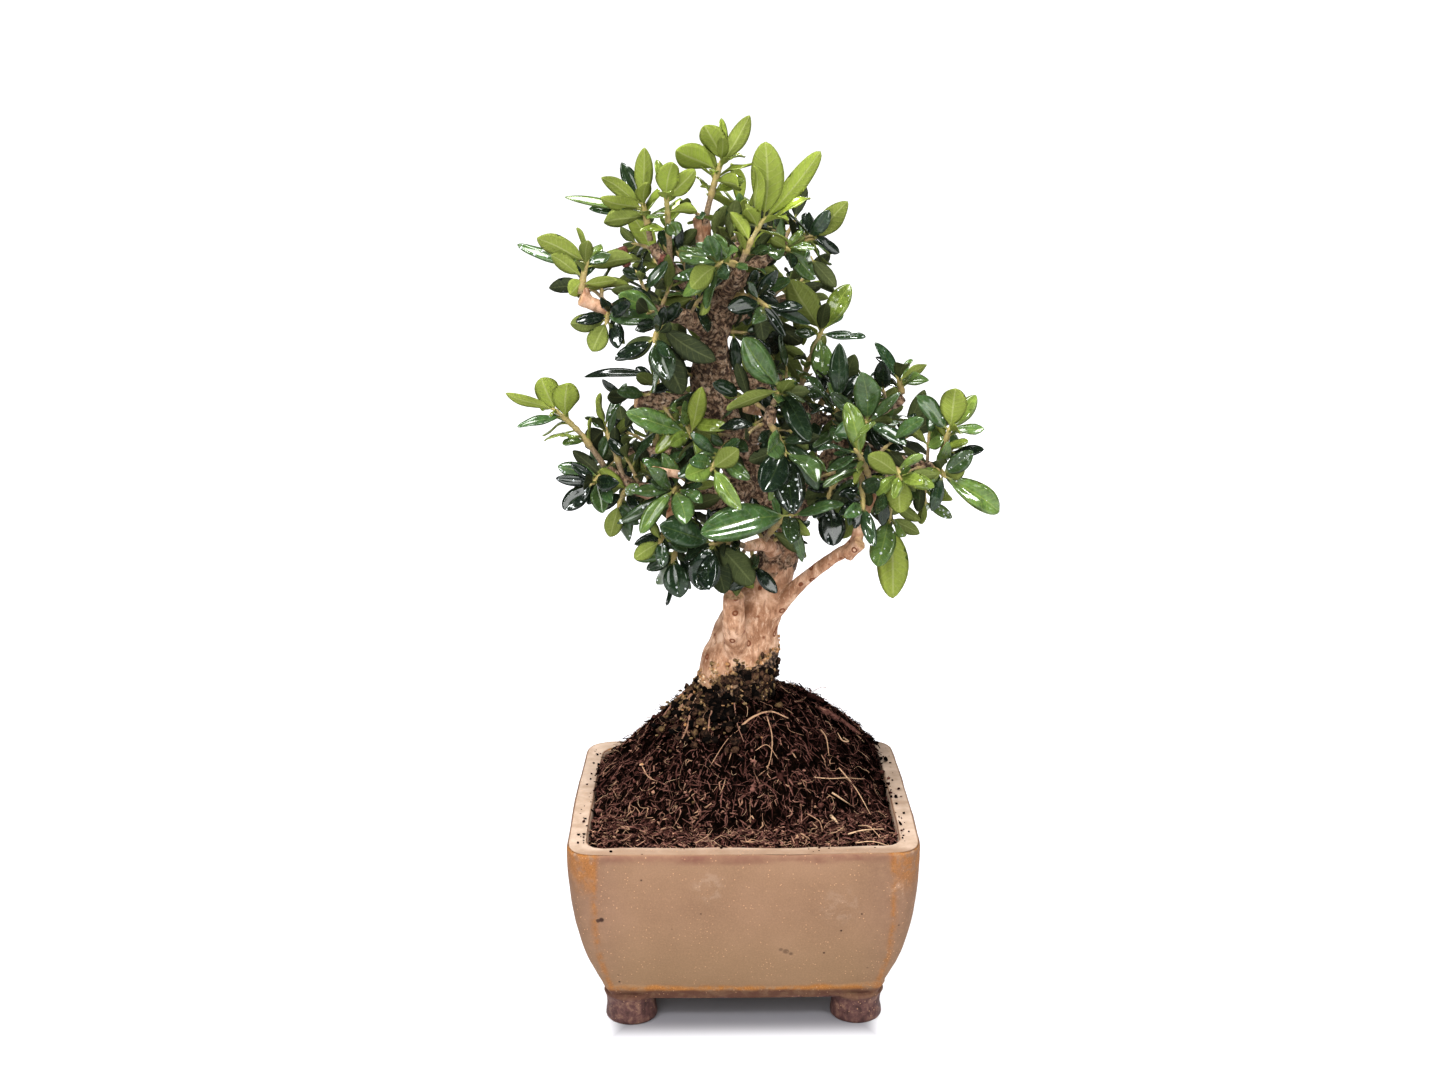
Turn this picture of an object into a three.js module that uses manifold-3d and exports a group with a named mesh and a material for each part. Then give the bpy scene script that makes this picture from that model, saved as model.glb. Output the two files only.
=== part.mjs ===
// Dwarf olive bonsai planted in a square, bowl-sided stoneware pot on four round feet.
// Millimetres, +Z up. The origin is under the middle of the whole object, on the surface it stands on.
import * as THREE from "three";
import Module from "manifold-3d";

const wasm = await Module();
wasm.setup();

// Pot: half-widths across the flats and corner cuts at each height, from the underside to the rim.
const POT_OUTSIDE = [
  { z: 11.5, half: 57.4, cut: 3 },
  { z: 13.5, half: 58.3, cut: 3.2 },
  { z: 18, half: 60.5, cut: 4 },
  { z: 25, half: 63.8, cut: 5.4 },
  { z: 35, half: 68, cut: 7.4 },
  { z: 50, half: 72.3, cut: 10.2 },
  { z: 68, half: 74.8, cut: 12.8 },
  { z: 82, half: 75, cut: 14 },
  { z: 83.4, half: 74.2, cut: 13.8 },
];
const POT_INSIDE = [
  { z: 83.4, half: 66.4, cut: 9.5 },
  { z: 82.2, half: 65.6, cut: 9.5 },
  { z: 60, half: 63.5, cut: 8.5 },
  { z: 36, half: 58, cut: 7 },
  { z: 22, half: 50, cut: 4.5 },
  { z: 20, half: 47, cut: 4 },
];
const POT_FLOOR = 20;
const SIDE_BOW = 0.8;
const FOOT_SPREAD = 48.4;
const FOOT_RADIUS = 11.2;
const FOOT_TOP = 15;
const FOOT_SIDES = 14;
const DRAIN_RADIUS = 10;

// Gap left between pieces that touch, and how far a fused surface may be smoothed over.
const SEAT_GAP = 0.3;
const TIDY_TOLERANCE = 0.1;

// Drainage mesh over the hole, under the soil.
const SCREEN_WIDTH = 34;
const SCREEN_THICKNESS = 1;
const SCREEN_HOLES = 4;
const SCREEN_HOLE = 5.4;
const SCREEN_RECESS_RADIUS = 26;

// Soil: level against the rim, and the old root ball heaped up round the trunk.
const SOIL_LEVEL = 80.5;
const MOUND_HEIGHT = 45;
const MOUND_FLANKS = [
  { angle: 0, reach: 70, bulge: 1.3 },
  { angle: 45, reach: 92, bulge: 1.5 },
  { angle: 90, reach: 62, bulge: 1.3 },
  { angle: 180, reach: 70, bulge: 1.05 },
  { angle: 270, reach: 56, bulge: 1.1 },
  { angle: 360, reach: 70, bulge: 1.3 },
];
const SOIL_RINGS = 7;
const SOIL_SIDE_STEPS = 8;
const TRUNK_FOOT = { x: -3, y: 17 };
const PLUG_RADIUS = 18.8;
const PLUG_BOTTOM = 94;

// Trunk and branches, grown as one piece: x, y, z and radius along each limb.
const LIMBS = {
  trunk: [[-3, 17, 124, 17], [-2, 16, 135, 17], [1, 15, 145, 16], [4, 14, 159, 14.3], [10, 13, 172, 10.8],
    [16, 14, 187, 9.5], [18, 18, 202, 9], [10, 22, 217, 9.5], [-2, 22, 236, 9.5], [-11, 20, 254, 9.5],
    [-12, 18, 270, 9], [-10, 16, 287, 5.8], [-6, 16, 302, 6], [-5, 18, 315, 4], [-7, 20, 326, 3]],
  stub_front: [[-1, 8, 144, 6.4], [-3, -5, 161, 5.2], [-3, -9, 177, 4.6]],
  right_thin: [[12, 10, 162, 5], [26, 2, 179, 3.1], [39, -4, 191, 2.8], [49, -8, 199, 2.7], [52, -10, 209, 2.3],
    [57, -12, 222, 2]],
  right_main: [[18, 18, 200, 7], [27, 26, 210, 6], [37, 28, 225, 5], [47, 24, 239, 4.2], [59, 20, 251, 3.2],
    [72, 18, 259, 2.3]],
  right_front: [[34, 24, 221, 4], [44, 2, 227, 3], [53, -10, 232, 2.5], [65, -18, 234, 2.4]],
  right_back: [[37, 30, 225, 4], [52, 54, 228, 3.2], [70, 72, 227, 2.4]],
  right_far: [[47, 24, 239, 3.6], [64, 12, 234, 3], [77, 8, 231, 2.6], [87, 6, 230, 2]],
  mid_right: [[-10, 20, 269, 4.5], [19, 34, 260, 3.6], [33, 44, 247, 3], [44, 52, 244, 2.3]],
  left_low: [[8, 20, 221, 6], [-4, 7, 219, 5.5], [-17, 0, 217, 4.6], [-32, -3, 220, 3.8], [-47, -2, 224, 3],
    [-58, 0, 231, 2.3]],
  left_back: [[-2, 24, 235, 5], [-18, 50, 228, 4], [-37, 66, 228, 3], [-55, 72, 227, 2.3]],
  left_stub: [[-13, 18, 256, 5], [-29, 8, 259, 4.2], [-45, 4, 261, 3.9]],
  left_down: [[-26, -2, 219, 3.6], [-29, -10, 210, 3], [-26, -14, 200, 2.3]],
  front_mid: [[-8, 16, 243, 5], [-1, -6, 244, 3.6], [10, -22, 251, 3], [13, -26, 261, 2.2]],
  front_low: [[16, 12, 190, 4.4], [11, -8, 199, 3.2], [2, -22, 201, 2.4]],
  back_mid: [[5, 26, 226, 5], [10, 54, 226, 3.8], [13, 74, 232, 2.6]],
  crown_left: [[-7, 16, 299, 4.6], [-17, 6, 307, 3.6], [-28, 0, 316, 3], [-37, -2, 327, 2.3]],
  crown_low: [[-10, 14, 287, 4.6], [-21, -4, 296, 3.8], [-37, -14, 300, 3.2], [-53, -18, 301, 2.9],
    [-66, -22, 306, 2.7]],
  crown_right: [[-5, 16, 307, 4], [6, 14, 316, 3.4], [16, 18, 323, 2.8], [27, 20, 326, 2]],
  crown_front: [[-6, 14, 305, 4], [-2, -8, 312, 3], [1, -16, 318, 2.2]],
  crown_back: [[-5, 18, 306, 4], [-1, 44, 314, 3], [0, 60, 324, 2.2]],
  crown_back_left: [[-7, 18, 300, 4], [-21, 42, 306, 3.2], [-36, 56, 312, 2.3]],
  crown_top: [[-5, 18, 314, 3.6], [-14, 12, 324, 3], [-14, 8, 337, 2.2]],
  crown_back_right: [[-7, 18, 294, 4], [10, 42, 297, 3], [22, 56, 299, 2.2]],
};

// Leafy shoots. Each grows from a limb, at a fraction of its length, to its own tip. It carries pairs
// of leaves of about the given length, aged 0 for new growth to 1 for old leaves, and then single
// large leaves, each given by its tip, its width, its place along the twig and, where it turns a face
// to the front, 1 for its upper face or -1 for its under face.
const SHOOTS = [
  { limb: "crown_top", at: 1, tip: [-7, 6, 361], pairs: 2, leaf: 15, age: 0, own: [
    [[-14, 2, 376], 11, 1, -1], [[5, 8, 380], 8, 0.97, -1], [[-7, 12, 379], 6, 0.99],
    [[-26, -4, 366], 12, 0.8, -1], [[0, -10, 351], 8, 0.6, -1]] },
  { limb: "crown_front", at: 0.5, tip: [10, -10, 337], pairs: 1, leaf: 22, age: 0.1, own: [
    [[11, -14, 369], 14, 1, -1], [[34, -6, 365], 9, 0.98, -1]] },
  { limb: "crown_right", at: 1, tip: [32, 20, 328], pairs: 0, leaf: 18, age: 0.6, own: [
    [[47, 16, 344], 10, 1, -1], [[18, 14, 343], 4, 0.97]] },
  { limb: "crown_left", at: 1, tip: [-40, -4, 344], pairs: 2, leaf: 18, age: 0.25, own: [
    [[-39, -6, 367], 8, 1, -1], [[-57, -8, 355], 7, 0.95, -1], [[-73, -2, 347], 5, 0.8, 1],
    [[-56, -14, 337], 8, 0.7, -1], [[-57, -18, 347], 8, 0.85, -1], [[-49, 2, 361], 7, 0.9, 1],
    [[-63, 0, 342], 7, 0.75, 1]] },
  { limb: "crown_left", at: 0.7, tip: [-30, -14, 347], pairs: 1, leaf: 16, age: 0.1, own: [
    [[-27, -20, 361], 10, 1, -1], [[-18, -12, 358], 9, 0.97, -1], [[-34, -8, 362], 5, 0.95, 1],
    [[-26, -10, 331], 8, 0.6, 1]] },
  { limb: "crown_low", at: 1, tip: [-63, -18, 321], pairs: 1, leaf: 14, age: 0.4, own: [
    [[-92, -14, 328], 6, 0.97, 1], [[-83, -22, 331], 10, 1, -1], [[-53, -18, 324], 6, 0.9, 1],
    [[-70, -24, 308], 8, 0.45, -1], [[-44, -14, 322], 8, 0.8, -1], [[-46, -10, 311], 6, 0.25, -1]] },
  { limb: "crown_front", at: 1, tip: [-9, -30, 320], pairs: 2, leaf: 20, age: 0.5, own: [
    [[-20, -44, 312], 10, 1, -1], [[-13, -34, 332], 8, 0.95, 1], [[-27, -38, 315], 5, 0.8, 1],
    [[-25, -20, 324], 8, 0.7, 1]] },
  { limb: "crown_low", at: 0.75, tip: [-55, -24, 297], pairs: 0, leaf: 20, age: 0.7, own: [
    [[-61, -28, 285], 9, 1, -1], [[-70, -24, 296], 8, 0.9, -1]] },
  { limb: "crown_low", at: 0.4, tip: [-35, -32, 290], pairs: 1, leaf: 15, age: 0.9, own: [
    [[-29, -38, 274], 11, 1, 1], [[-48, -34, 283], 8, 0.9, -1], [[-24, -28, 267], 12, 0.85, -1],
    [[-10, -30, 281], 10, 0.6, -1], [[-50, -24, 308], 10, 0.3, 1], [[-54, -26, 299], 7, 0.45, 1]] },
  { limb: "mid_right", at: 0.5, tip: [37, 38, 286], pairs: 1, leaf: 15, age: 0.6, own: [
    [[23, 34, 310], 14, 1, -1], [[50, 42, 307], 10, 0.98, 1], [[57, 36, 284], 6, 0.97, 1],
    [[25, 38, 286], 5, 0.96, 1], [[37, 34, 266], 10, 0.93, 1]] },
  { limb: "mid_right", at: 1, tip: [47, 56, 252], pairs: 3, leaf: 18, age: 1, own: [] },
  { limb: "mid_right", at: 0.72, tip: [42, 34, 262], pairs: 3, leaf: 18, age: 1, own: [] },
  { limb: "right_main", at: 1, tip: [70, 16, 267], pairs: 2, leaf: 16, age: 0.8, own: [
    [[82, 14, 274], 5, 0.97, -1], [[83, 14, 267], 6, 0.96, 1]] },
  { limb: "right_main", at: 0.72, tip: [55, 2, 250], pairs: 1, leaf: 18, age: 0.7, own: [
    [[52, -4, 273], 12, 1, 1], [[69, -2, 264], 5, 0.97], [[70, -4, 239], 10, 0.95, 1],
    [[39, -2, 264], 6, 0.93, 1]] },
  { limb: "right_far", at: 1, tip: [91, 4, 247], pairs: 0, leaf: 13, age: 0.1, own: [
    [[93, 2, 265], 12, 1, -1], [[103, 10, 261], 8, 0.95, 1], [[76, 2, 262], 10, 0.93, 1],
    [[82, 6, 239], 7, 0.7, 1]] },
  { limb: "right_far", at: 0.9, tip: [88, -4, 228], pairs: 0, leaf: 14, age: 0.6, own: [
    [[113, 0, 211], 11, 1, 1], [[100, -6, 239], 8, 0.9, 1], [[97, -4, 231], 8, 0.85, -1],
    [[76, -6, 227], 7, 0.8, 1]] },
  { limb: "right_far", at: 0.5, tip: [64, -8, 209], pairs: 1, leaf: 15, age: 0.5, own: [
    [[66, -10, 175], 14, 1, -1], [[58, -22, 192], 11, 0.97, 1], [[77, -12, 204], 6, 0.98, -1]] },
  { limb: "right_far", at: 0.75, tip: [82, 14, 213], pairs: 1, leaf: 12, age: 0.5, own: [
    [[94, 12, 206], 5, 1, 1]] },
  { limb: "left_low", at: 1, tip: [-79, -2, 257], pairs: 1, leaf: 12, age: 0.2, own: [
    [[-85, 0, 271], 11, 1, -1], [[-73, -10, 270], 12, 0.8, -1], [[-100, -4, 265], 5, 1, -1],
    [[-95, -8, 251], 5, 0.85, 1]] },
  { limb: "left_low", at: 0.86, tip: [-59, 10, 248], pairs: 1, leaf: 13, age: 0.7, own: [
    [[-67, 4, 240], 11, 0.95, -1], [[-49, 12, 267], 5, 1, 1], [[-64, 8, 232], 8, 0.85, 1]] },
  { limb: "left_low", at: 0.95, tip: [-63, -10, 227], pairs: 2, leaf: 15, age: 0.8, own: [
    [[-79, -10, 229], 5, 0.9, 1], [[-76, -12, 216], 9, 1, 1], [[-59, -12, 214], 8, 0.8, 1]] },
  { limb: "left_low", at: 0.8, tip: [-52, -12, 218], pairs: 2, leaf: 16, age: 0.6, own: [
    [[-56, -14, 204], 8, 1, -1]] },
  { limb: "left_stub", at: 0.45, tip: [-21, -16, 248], pairs: 2, leaf: 18, age: 0.3, own: [
    [[-48, -22, 259], 10, 0.97, 1], [[-16, -18, 269], 8, 1, -1]] },
  { limb: "front_mid", at: 0.3, tip: [-12, -34, 237], pairs: 2, leaf: 18, age: 0.6, own: [
    [[-1, -40, 246], 9, 1, -1], [[-23, -42, 235], 10, 0.95, 1]] },
  { limb: "front_mid", at: 0.8, tip: [18, -38, 244], pairs: 2, leaf: 22, age: 0.9, own: [
    [[9, -46, 229], 14, 0.9, 1], [[21, -48, 220], 14, 1, 1]] },
  { limb: "front_low", at: 0.6, tip: [21, -30, 216], pairs: 1, leaf: 20, age: 0.6, own: [
    [[-17, -46, 212], 15, 1, 1], [[26, -26, 195], 5, 0.95, 1]] },
  { limb: "front_low", at: 1, tip: [-12, -34, 205], pairs: 2, leaf: 20, age: 0.95, own: [
    [[-17, -42, 187], 14, 1, 1], [[-34, -38, 214], 12, 0.95, 1], [[5, -32, 187], 12, 0.9, -1],
    [[-7, -36, 184], 10, 0.95, -1]] },
  { limb: "right_front", at: 0.3, tip: [38, -6, 219], pairs: 1, leaf: 18, age: 1, own: [
    [[40, -12, 199], 12, 1, 1], [[31, -16, 212], 7, 0.9, 1]] },
  { limb: "right_front", at: 1, tip: [67, -24, 231], pairs: 1, leaf: 14, age: 0.4, own: [
    [[67, -26, 216], 11, 1, -1], [[53, -28, 241], 9, 0.95, -1]] },
  { limb: "left_down", at: 1, tip: [-29, -18, 195], pairs: 2, leaf: 18, age: 0.9, own: [
    [[-26, -22, 179], 12, 1, 1], [[-32, -20, 175], 4, 0.8]] },
  { limb: "left_down", at: 0.6, tip: [-34, -28, 205], pairs: 0, leaf: 14, age: 0.7, own: [
    [[-45, -30, 198], 7, 1, -1], [[-33, -30, 194], 6, 0.9, 1]] },
  { limb: "left_low", at: 0.5, tip: [-28, -32, 227], pairs: 3, leaf: 18, age: 0.7, own: [
    [[-42, -36, 210], 7, 0.9, 1], [[-52, -30, 213], 6, 0.85, 1]] },
  { limb: "right_main", at: 0.5, tip: [43, 6, 259], pairs: 3, leaf: 20, age: 0.9, own: [] },
  { limb: "right_thin", at: 1, tip: [48, -28, 243], pairs: 3, leaf: 20, age: 0.6, own: [] },
  { limb: "right_back", at: 1, tip: [81, 82, 232], pairs: 4, leaf: 22, age: 0.8, own: [] },
  { limb: "right_back", at: 0.6, tip: [59, 70, 208], pairs: 4, leaf: 22, age: 0.9, own: [] },
  { limb: "right_back", at: 0.8, tip: [66, 70, 246], pairs: 4, leaf: 20, age: 0.6, own: [] },
  { limb: "left_back", at: 0.85, tip: [-52, 84, 214], pairs: 3, leaf: 18, age: 0.7, own: [] },
  { limb: "left_back", at: 0.7, tip: [-38, 76, 238], pairs: 3, leaf: 18, age: 0.5, own: [] },
  { limb: "left_back", at: 0.8, tip: [-42, 76, 208], pairs: 4, leaf: 20, age: 0.9, own: [] },
  { limb: "back_mid", at: 1, tip: [13, 82, 250], pairs: 4, leaf: 22, age: 0.5, own: [] },
  { limb: "back_mid", at: 0.8, tip: [-6, 84, 208], pairs: 4, leaf: 22, age: 0.9, own: [] },
  { limb: "back_mid", at: 0.9, tip: [33, 84, 212], pairs: 4, leaf: 22, age: 0.8, own: [] },
  { limb: "crown_back", at: 1, tip: [2, 66, 339], pairs: 4, leaf: 22, age: 0.2, own: [] },
  { limb: "crown_back", at: 0.7, tip: [9, 60, 317], pairs: 3, leaf: 17, age: 0.5, own: [] },
  { limb: "crown_back_left", at: 1, tip: [-38, 66, 318], pairs: 4, leaf: 20, age: 0.4, own: [] },
  { limb: "crown_back_left", at: 0.7, tip: [-26, 70, 290], pairs: 4, leaf: 22, age: 0.8, own: [] },
  { limb: "crown_back_right", at: 1, tip: [26, 66, 298], pairs: 4, leaf: 18, age: 0.6, own: [] },
  { limb: "crown_back_right", at: 0.7, tip: [14, 62, 280], pairs: 4, leaf: 22, age: 0.8, own: [] },
  { limb: "left_stub", at: 0.7, tip: [-36, 14, 271], pairs: 0, leaf: 13, age: 0.9, own: [
    [[-68, 18, 269], 5, 0.9, 1], [[-23, 14, 267], 6, 1, 1]] },
  { limb: "crown_right", at: 0.7, tip: [21, 12, 324], pairs: 1, leaf: 13, age: 0.5, own: [
    [[12, 10, 323], 8, 0.95, 1], [[33, 14, 311], 9, 1, 1]] },
  { limb: "front_mid", at: 1, tip: [17, -28, 269], pairs: 0, leaf: 20, age: 0.7, own: [
    [[1, -36, 291], 13, 1, 1], [[28, -42, 249], 11, 0.95, 1], [[-6, -38, 262], 7, 0.9, -1]] },
  { limb: "right_front", at: 0.6, tip: [51, -32, 220], pairs: 2, leaf: 14, age: 0.7, own: [] },
  { limb: "left_back", at: 0.45, tip: [-22, 58, 247], pairs: 4, leaf: 22, age: 0.8, own: [] },
  { limb: "right_main", at: 0.3, tip: [37, 56, 236], pairs: 3, leaf: 22, age: 0.9, own: [] },
  { limb: "trunk", at: 0.86, tip: [11, -14, 302], pairs: 2, leaf: 16, age: 0.9, own: [
    [[30, -10, 294], 5, 1, 1], [[-5, -24, 302], 8, 0.9, 1], [[10, -18, 288], 8, 0.8, -1]] },
];

// Twigs, and how leaves stand on them.
const TWIG_BASE_RADIUS = 1.5;
const TWIG_TIP_RADIUS = 0.8;
const TWIG_STEP = 13;
const TWIG_LIFT = 0.16;
const PAIR_SPACING = 8;
const GOLDEN_ANGLE = 2.39996;
const OPENING_AT_TIP = 0.68;
const OPENING_STEP = 0.26;
const LEAF_TRIES = 14;
const LEAF_CLEARANCE = 5.2;
const TWIN_CLEARANCE = 2.6;
const LIMB_CLEARANCE = 2.2;
const TWIG_CLEARANCE = 3.6;
const LEAF_WIDTH_RATIO = 0.41;
const LEAF_ARCH = 0.07;
const FRONT = new THREE.Vector3(0, -3, 0.6);
const BLADE_DEPTH = 1.1;
const BLADE_FOLD = 0.12;
const PETIOLE_HALF = 0.55;
const ROOT_OFFSET = 0.45;
const PETIOLE_END = 0.1;
const BLADE_SECTIONS = [
  { s: 0.42, w: 0.96 },
  { s: 0.76, w: 0.84 },
];

const colours = { pot: 0xb08a68, screen: 0x2a2d2b, soil: 0x2e1d15, bark: 0xa98f74 };

// One pseudo-random stream for each seed, of numbers from 0 to 1.
function randomStream(seed) {
  let state = (seed * 2654435761 + 12345) % 4294967296;
  return () => {
    state = (Math.imul(state, 1664525) + 1013904223) >>> 0;
    return state / 4294967296;
  };
}

const vector = ([x, y, z]) => new THREE.Vector3(x, y, z);
const between = (a, b, t) => a.clone().lerp(b, t);

// A closed solid through rings of points; a ring of one point is an apex.
function loft(rings) {
  const points = rings.flat();
  const triangles = [];
  const starts = [];
  rings.reduce((start, ring) => {
    starts.push(start);
    return start + ring.length;
  }, 0);
  for (let k = 0; k + 1 < rings.length; k++) {
    const [near, far] = [rings[k].length, rings[k + 1].length];
    const count = Math.max(near, far);
    for (let i = 0; i < count; i++) {
      const j = (i + 1) % count;
      const a = starts[k] + (near > 1 ? i : 0);
      const b = starts[k] + (near > 1 ? j : 0);
      const c = starts[k + 1] + (far > 1 ? j : 0);
      const d = starts[k + 1] + (far > 1 ? i : 0);
      if (near > 1) triangles.push([a, b, c]);
      if (far > 1) triangles.push([a, c, d]);
    }
  }
  const cap = (start, count, flip) => {
    for (let i = 1; i + 1 < count; i++) {
      triangles.push(flip ? [start, start + i + 1, start + i] : [start, start + i, start + i + 1]);
    }
  };
  cap(starts[0], rings[0].length, true);
  cap(starts[rings.length - 1], rings[rings.length - 1].length, false);
  const volume = triangles.reduce((sum, [a, b, c]) =>
    sum + points[a].dot(points[b].clone().cross(points[c])), 0);
  if (volume < 0) triangles.forEach((triangle) => triangle.reverse());
  return new wasm.Manifold(new wasm.Mesh({
    numProp: 3,
    vertProperties: Float32Array.from(points.flatMap((point) => point.toArray())),
    triVerts: Uint32Array.from(triangles.flat()),
  }));
}

function meshOf(name, body, material) {
  const { vertProperties, triVerts } = body.getMesh();
  const geometry = new THREE.BufferGeometry();
  geometry.setAttribute("position", new THREE.BufferAttribute(Float32Array.from(vertProperties), 3));
  geometry.setIndex(new THREE.BufferAttribute(Uint32Array.from(triVerts), 1));
  geometry.computeVertexNormals();
  const mesh = new THREE.Mesh(geometry, material);
  mesh.name = name;
  return mesh;
}

// The pot's outline at one height: a square with bowed sides and cut corners.
function outline({ z, half, cut }, sideSteps, inset = 0) {
  const points = [];
  const flat = half - cut;
  for (let quarter = 0; quarter < 4; quarter++) {
    const turn = quarter * Math.PI / 2;
    const place = (x, y) => points.push(
      new THREE.Vector3(x - inset, y * (1 - inset / half), z).applyAxisAngle(new THREE.Vector3(0, 0, 1), turn));
    for (let i = 0; i <= sideSteps; i++) {
      const along = -1 + 2 * i / sideSteps;
      place(half - SIDE_BOW * along * along, along * flat);
    }
    const middle = half - cut / 2 + 0.2 * cut - SIDE_BOW / 2;
    place(middle, middle);
  }
  return points;
}

function disc(radius, sides, z, x = 0, y = 0) {
  return Array.from({ length: sides }, (_, i) => {
    const angle = 2 * Math.PI * i / sides;
    return new THREE.Vector3(x + radius * Math.cos(angle), y + radius * Math.sin(angle), z);
  });
}

function buildPot() {
  const centre = (z) => [new THREE.Vector3(0, 0, z)];
  const walls = [...POT_OUTSIDE, ...POT_INSIDE].map((level) => outline(level, 4));
  let pot = loft([centre(POT_OUTSIDE[0].z), ...walls, centre(POT_FLOOR)]);
  for (const x of [-FOOT_SPREAD, FOOT_SPREAD]) {
    for (const y of [-FOOT_SPREAD, FOOT_SPREAD]) {
      pot = pot.add(loft([
        disc(FOOT_RADIUS - 1, FOOT_SIDES, 0, x, y),
        disc(FOOT_RADIUS, FOOT_SIDES, 1.2, x, y),
        disc(FOOT_RADIUS, FOOT_SIDES, FOOT_TOP, x, y),
      ]));
    }
  }
  return pot.subtract(loft([disc(DRAIN_RADIUS, 20, 0), disc(DRAIN_RADIUS, 20, POT_FLOOR + 5)]));
}

function box(x, y, low, high, width) {
  const square = (z) => [[-1, -1], [1, -1], [1, 1], [-1, 1]].map(
    ([i, j]) => new THREE.Vector3(x + i * width / 2, y + j * width / 2, z));
  return loft([square(low), square(high)]);
}

function buildScreen() {
  const bottom = POT_FLOOR + SEAT_GAP;
  const top = bottom + SCREEN_THICKNESS;
  const pitch = SCREEN_WIDTH / SCREEN_HOLES;
  let screen = box(0, 0, bottom, top, SCREEN_WIDTH);
  for (let i = 0; i < SCREEN_HOLES; i++) {
    for (let j = 0; j < SCREEN_HOLES; j++) {
      const x = (i + 0.5) * pitch - SCREEN_WIDTH / 2;
      const y = (j + 0.5) * pitch - SCREEN_WIDTH / 2;
      screen = screen.subtract(box(x, y, bottom - 1, top + 1, SCREEN_HOLE));
    }
  }
  return screen;
}

// How far the mound runs out in a direction from the trunk, and how full its flank is.
function moundFlank(x, y) {
  const angle = (THREE.MathUtils.radToDeg(Math.atan2(y, x)) + 360) % 360;
  const after = MOUND_FLANKS.findIndex((flank) => flank.angle > angle);
  const [low, high] = [MOUND_FLANKS[after - 1], MOUND_FLANKS[after]];
  const t = THREE.MathUtils.smoothstep(angle, low.angle, high.angle);
  return {
    reach: THREE.MathUtils.lerp(low.reach, high.reach, t),
    bulge: THREE.MathUtils.lerp(low.bulge, high.bulge, t),
  };
}

function soilHeight(x, y) {
  const [dx, dy] = [x - TRUNK_FOOT.x, y - TRUNK_FOOT.y];
  const { reach, bulge } = moundFlank(dx, dy);
  const out = Math.max(0, Math.hypot(dx, dy) - PLUG_RADIUS) / (reach - PLUG_RADIUS);
  const heap = Math.max(0, 1 - Math.pow(out, bulge));
  const lumps = Math.sin(x * 0.35 + 1) * Math.cos(y * 0.31) + 0.7 * Math.sin(x * 0.17 - y * 0.43);
  return SOIL_LEVEL + MOUND_HEIGHT * heap + 1.1 * lumps;
}

function buildSoil() {
  const sides = POT_INSIDE.slice(1).reverse();
  const wall = sides.map((level) => outline(level, SOIL_SIDE_STEPS, SEAT_GAP));
  wall[0].forEach((point) => point.setZ(POT_FLOOR + SEAT_GAP));
  const edge = outline({ ...POT_INSIDE[1], z: SOIL_LEVEL }, SOIL_SIDE_STEPS, SEAT_GAP);
  wall[wall.length - 1] = edge;
  const foot = new THREE.Vector3(TRUNK_FOOT.x, TRUNK_FOOT.y, 0);
  const around = (radius, z) => edge.map((point) => {
    const out = point.clone().sub(foot).setZ(0).setLength(radius);
    return out.add(foot).setZ(z);
  });
  const recess = (z) => edge.map((point) => point.clone().setZ(0).setLength(SCREEN_RECESS_RADIUS).setZ(z));
  const hole = around(PLUG_RADIUS + SEAT_GAP, 0);
  const top = [];
  for (let k = 0; k <= SOIL_RINGS; k++) {
    const t = k / SOIL_RINGS;
    top.push(edge.map((point, i) => {
      const place = between(point, hole[i], t);
      return place.setZ(k === 0 ? SOIL_LEVEL : soilHeight(place.x, place.y));
    }));
  }
  const screenTop = POT_FLOOR + SCREEN_THICKNESS + 2 * SEAT_GAP;
  const holeBottom = around(PLUG_RADIUS + SEAT_GAP, PLUG_BOTTOM);
  return loft([
    [new THREE.Vector3(0, 0, screenTop)],
    recess(screenTop),
    recess(POT_FLOOR + SEAT_GAP),
    ...wall.slice(0, -1),
    ...top,
    holeBottom,
    [new THREE.Vector3(TRUNK_FOOT.x, TRUNK_FOOT.y, PLUG_BOTTOM)],
  ]);
}

// A tapering, slightly knotty tube along a limb, grown by the margin all round.
function limbSolid(name, margin = 0) {
  const points = LIMBS[name];
  const thick = points[0][3];
  const curve = new THREE.CatmullRomCurve3(points.map(vector), false, "centripetal");
  const sides = thick > 10 ? 12 : 5;
  const steps = (points.length - 1) * (thick > 10 ? 2 : 1) + 1;
  const random = randomStream(name.length * 7 + points.length);
  const side = new THREE.Vector3(0.31, 0.95, 0.05).normalize();
  const rings = [];
  for (let k = 0; k <= steps; k++) {
    const t = k / steps;
    const position = curve.getPoint(t);
    const tangent = curve.getTangent(t);
    side.addScaledVector(tangent, -side.dot(tangent)).normalize();
    const across = tangent.clone().cross(side);
    const place = t * (points.length - 1);
    const first = Math.min(Math.floor(place), points.length - 2);
    const radius = THREE.MathUtils.lerp(points[first][3], points[first + 1][3], place - first);
    const overshoot = k === 0 ? -margin : k === steps ? margin : 0;
    rings.push(Array.from({ length: sides }, (_, i) => {
      const angle = 2 * Math.PI * i / sides;
      const knotty = radius * (1 + 0.16 * (random() - 0.5)) + margin;
      return position.clone()
        .addScaledVector(side, knotty * Math.cos(angle))
        .addScaledVector(across, knotty * Math.sin(angle))
        .addScaledVector(tangent, overshoot);
    }));
  }
  return loft(rings);
}

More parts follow.
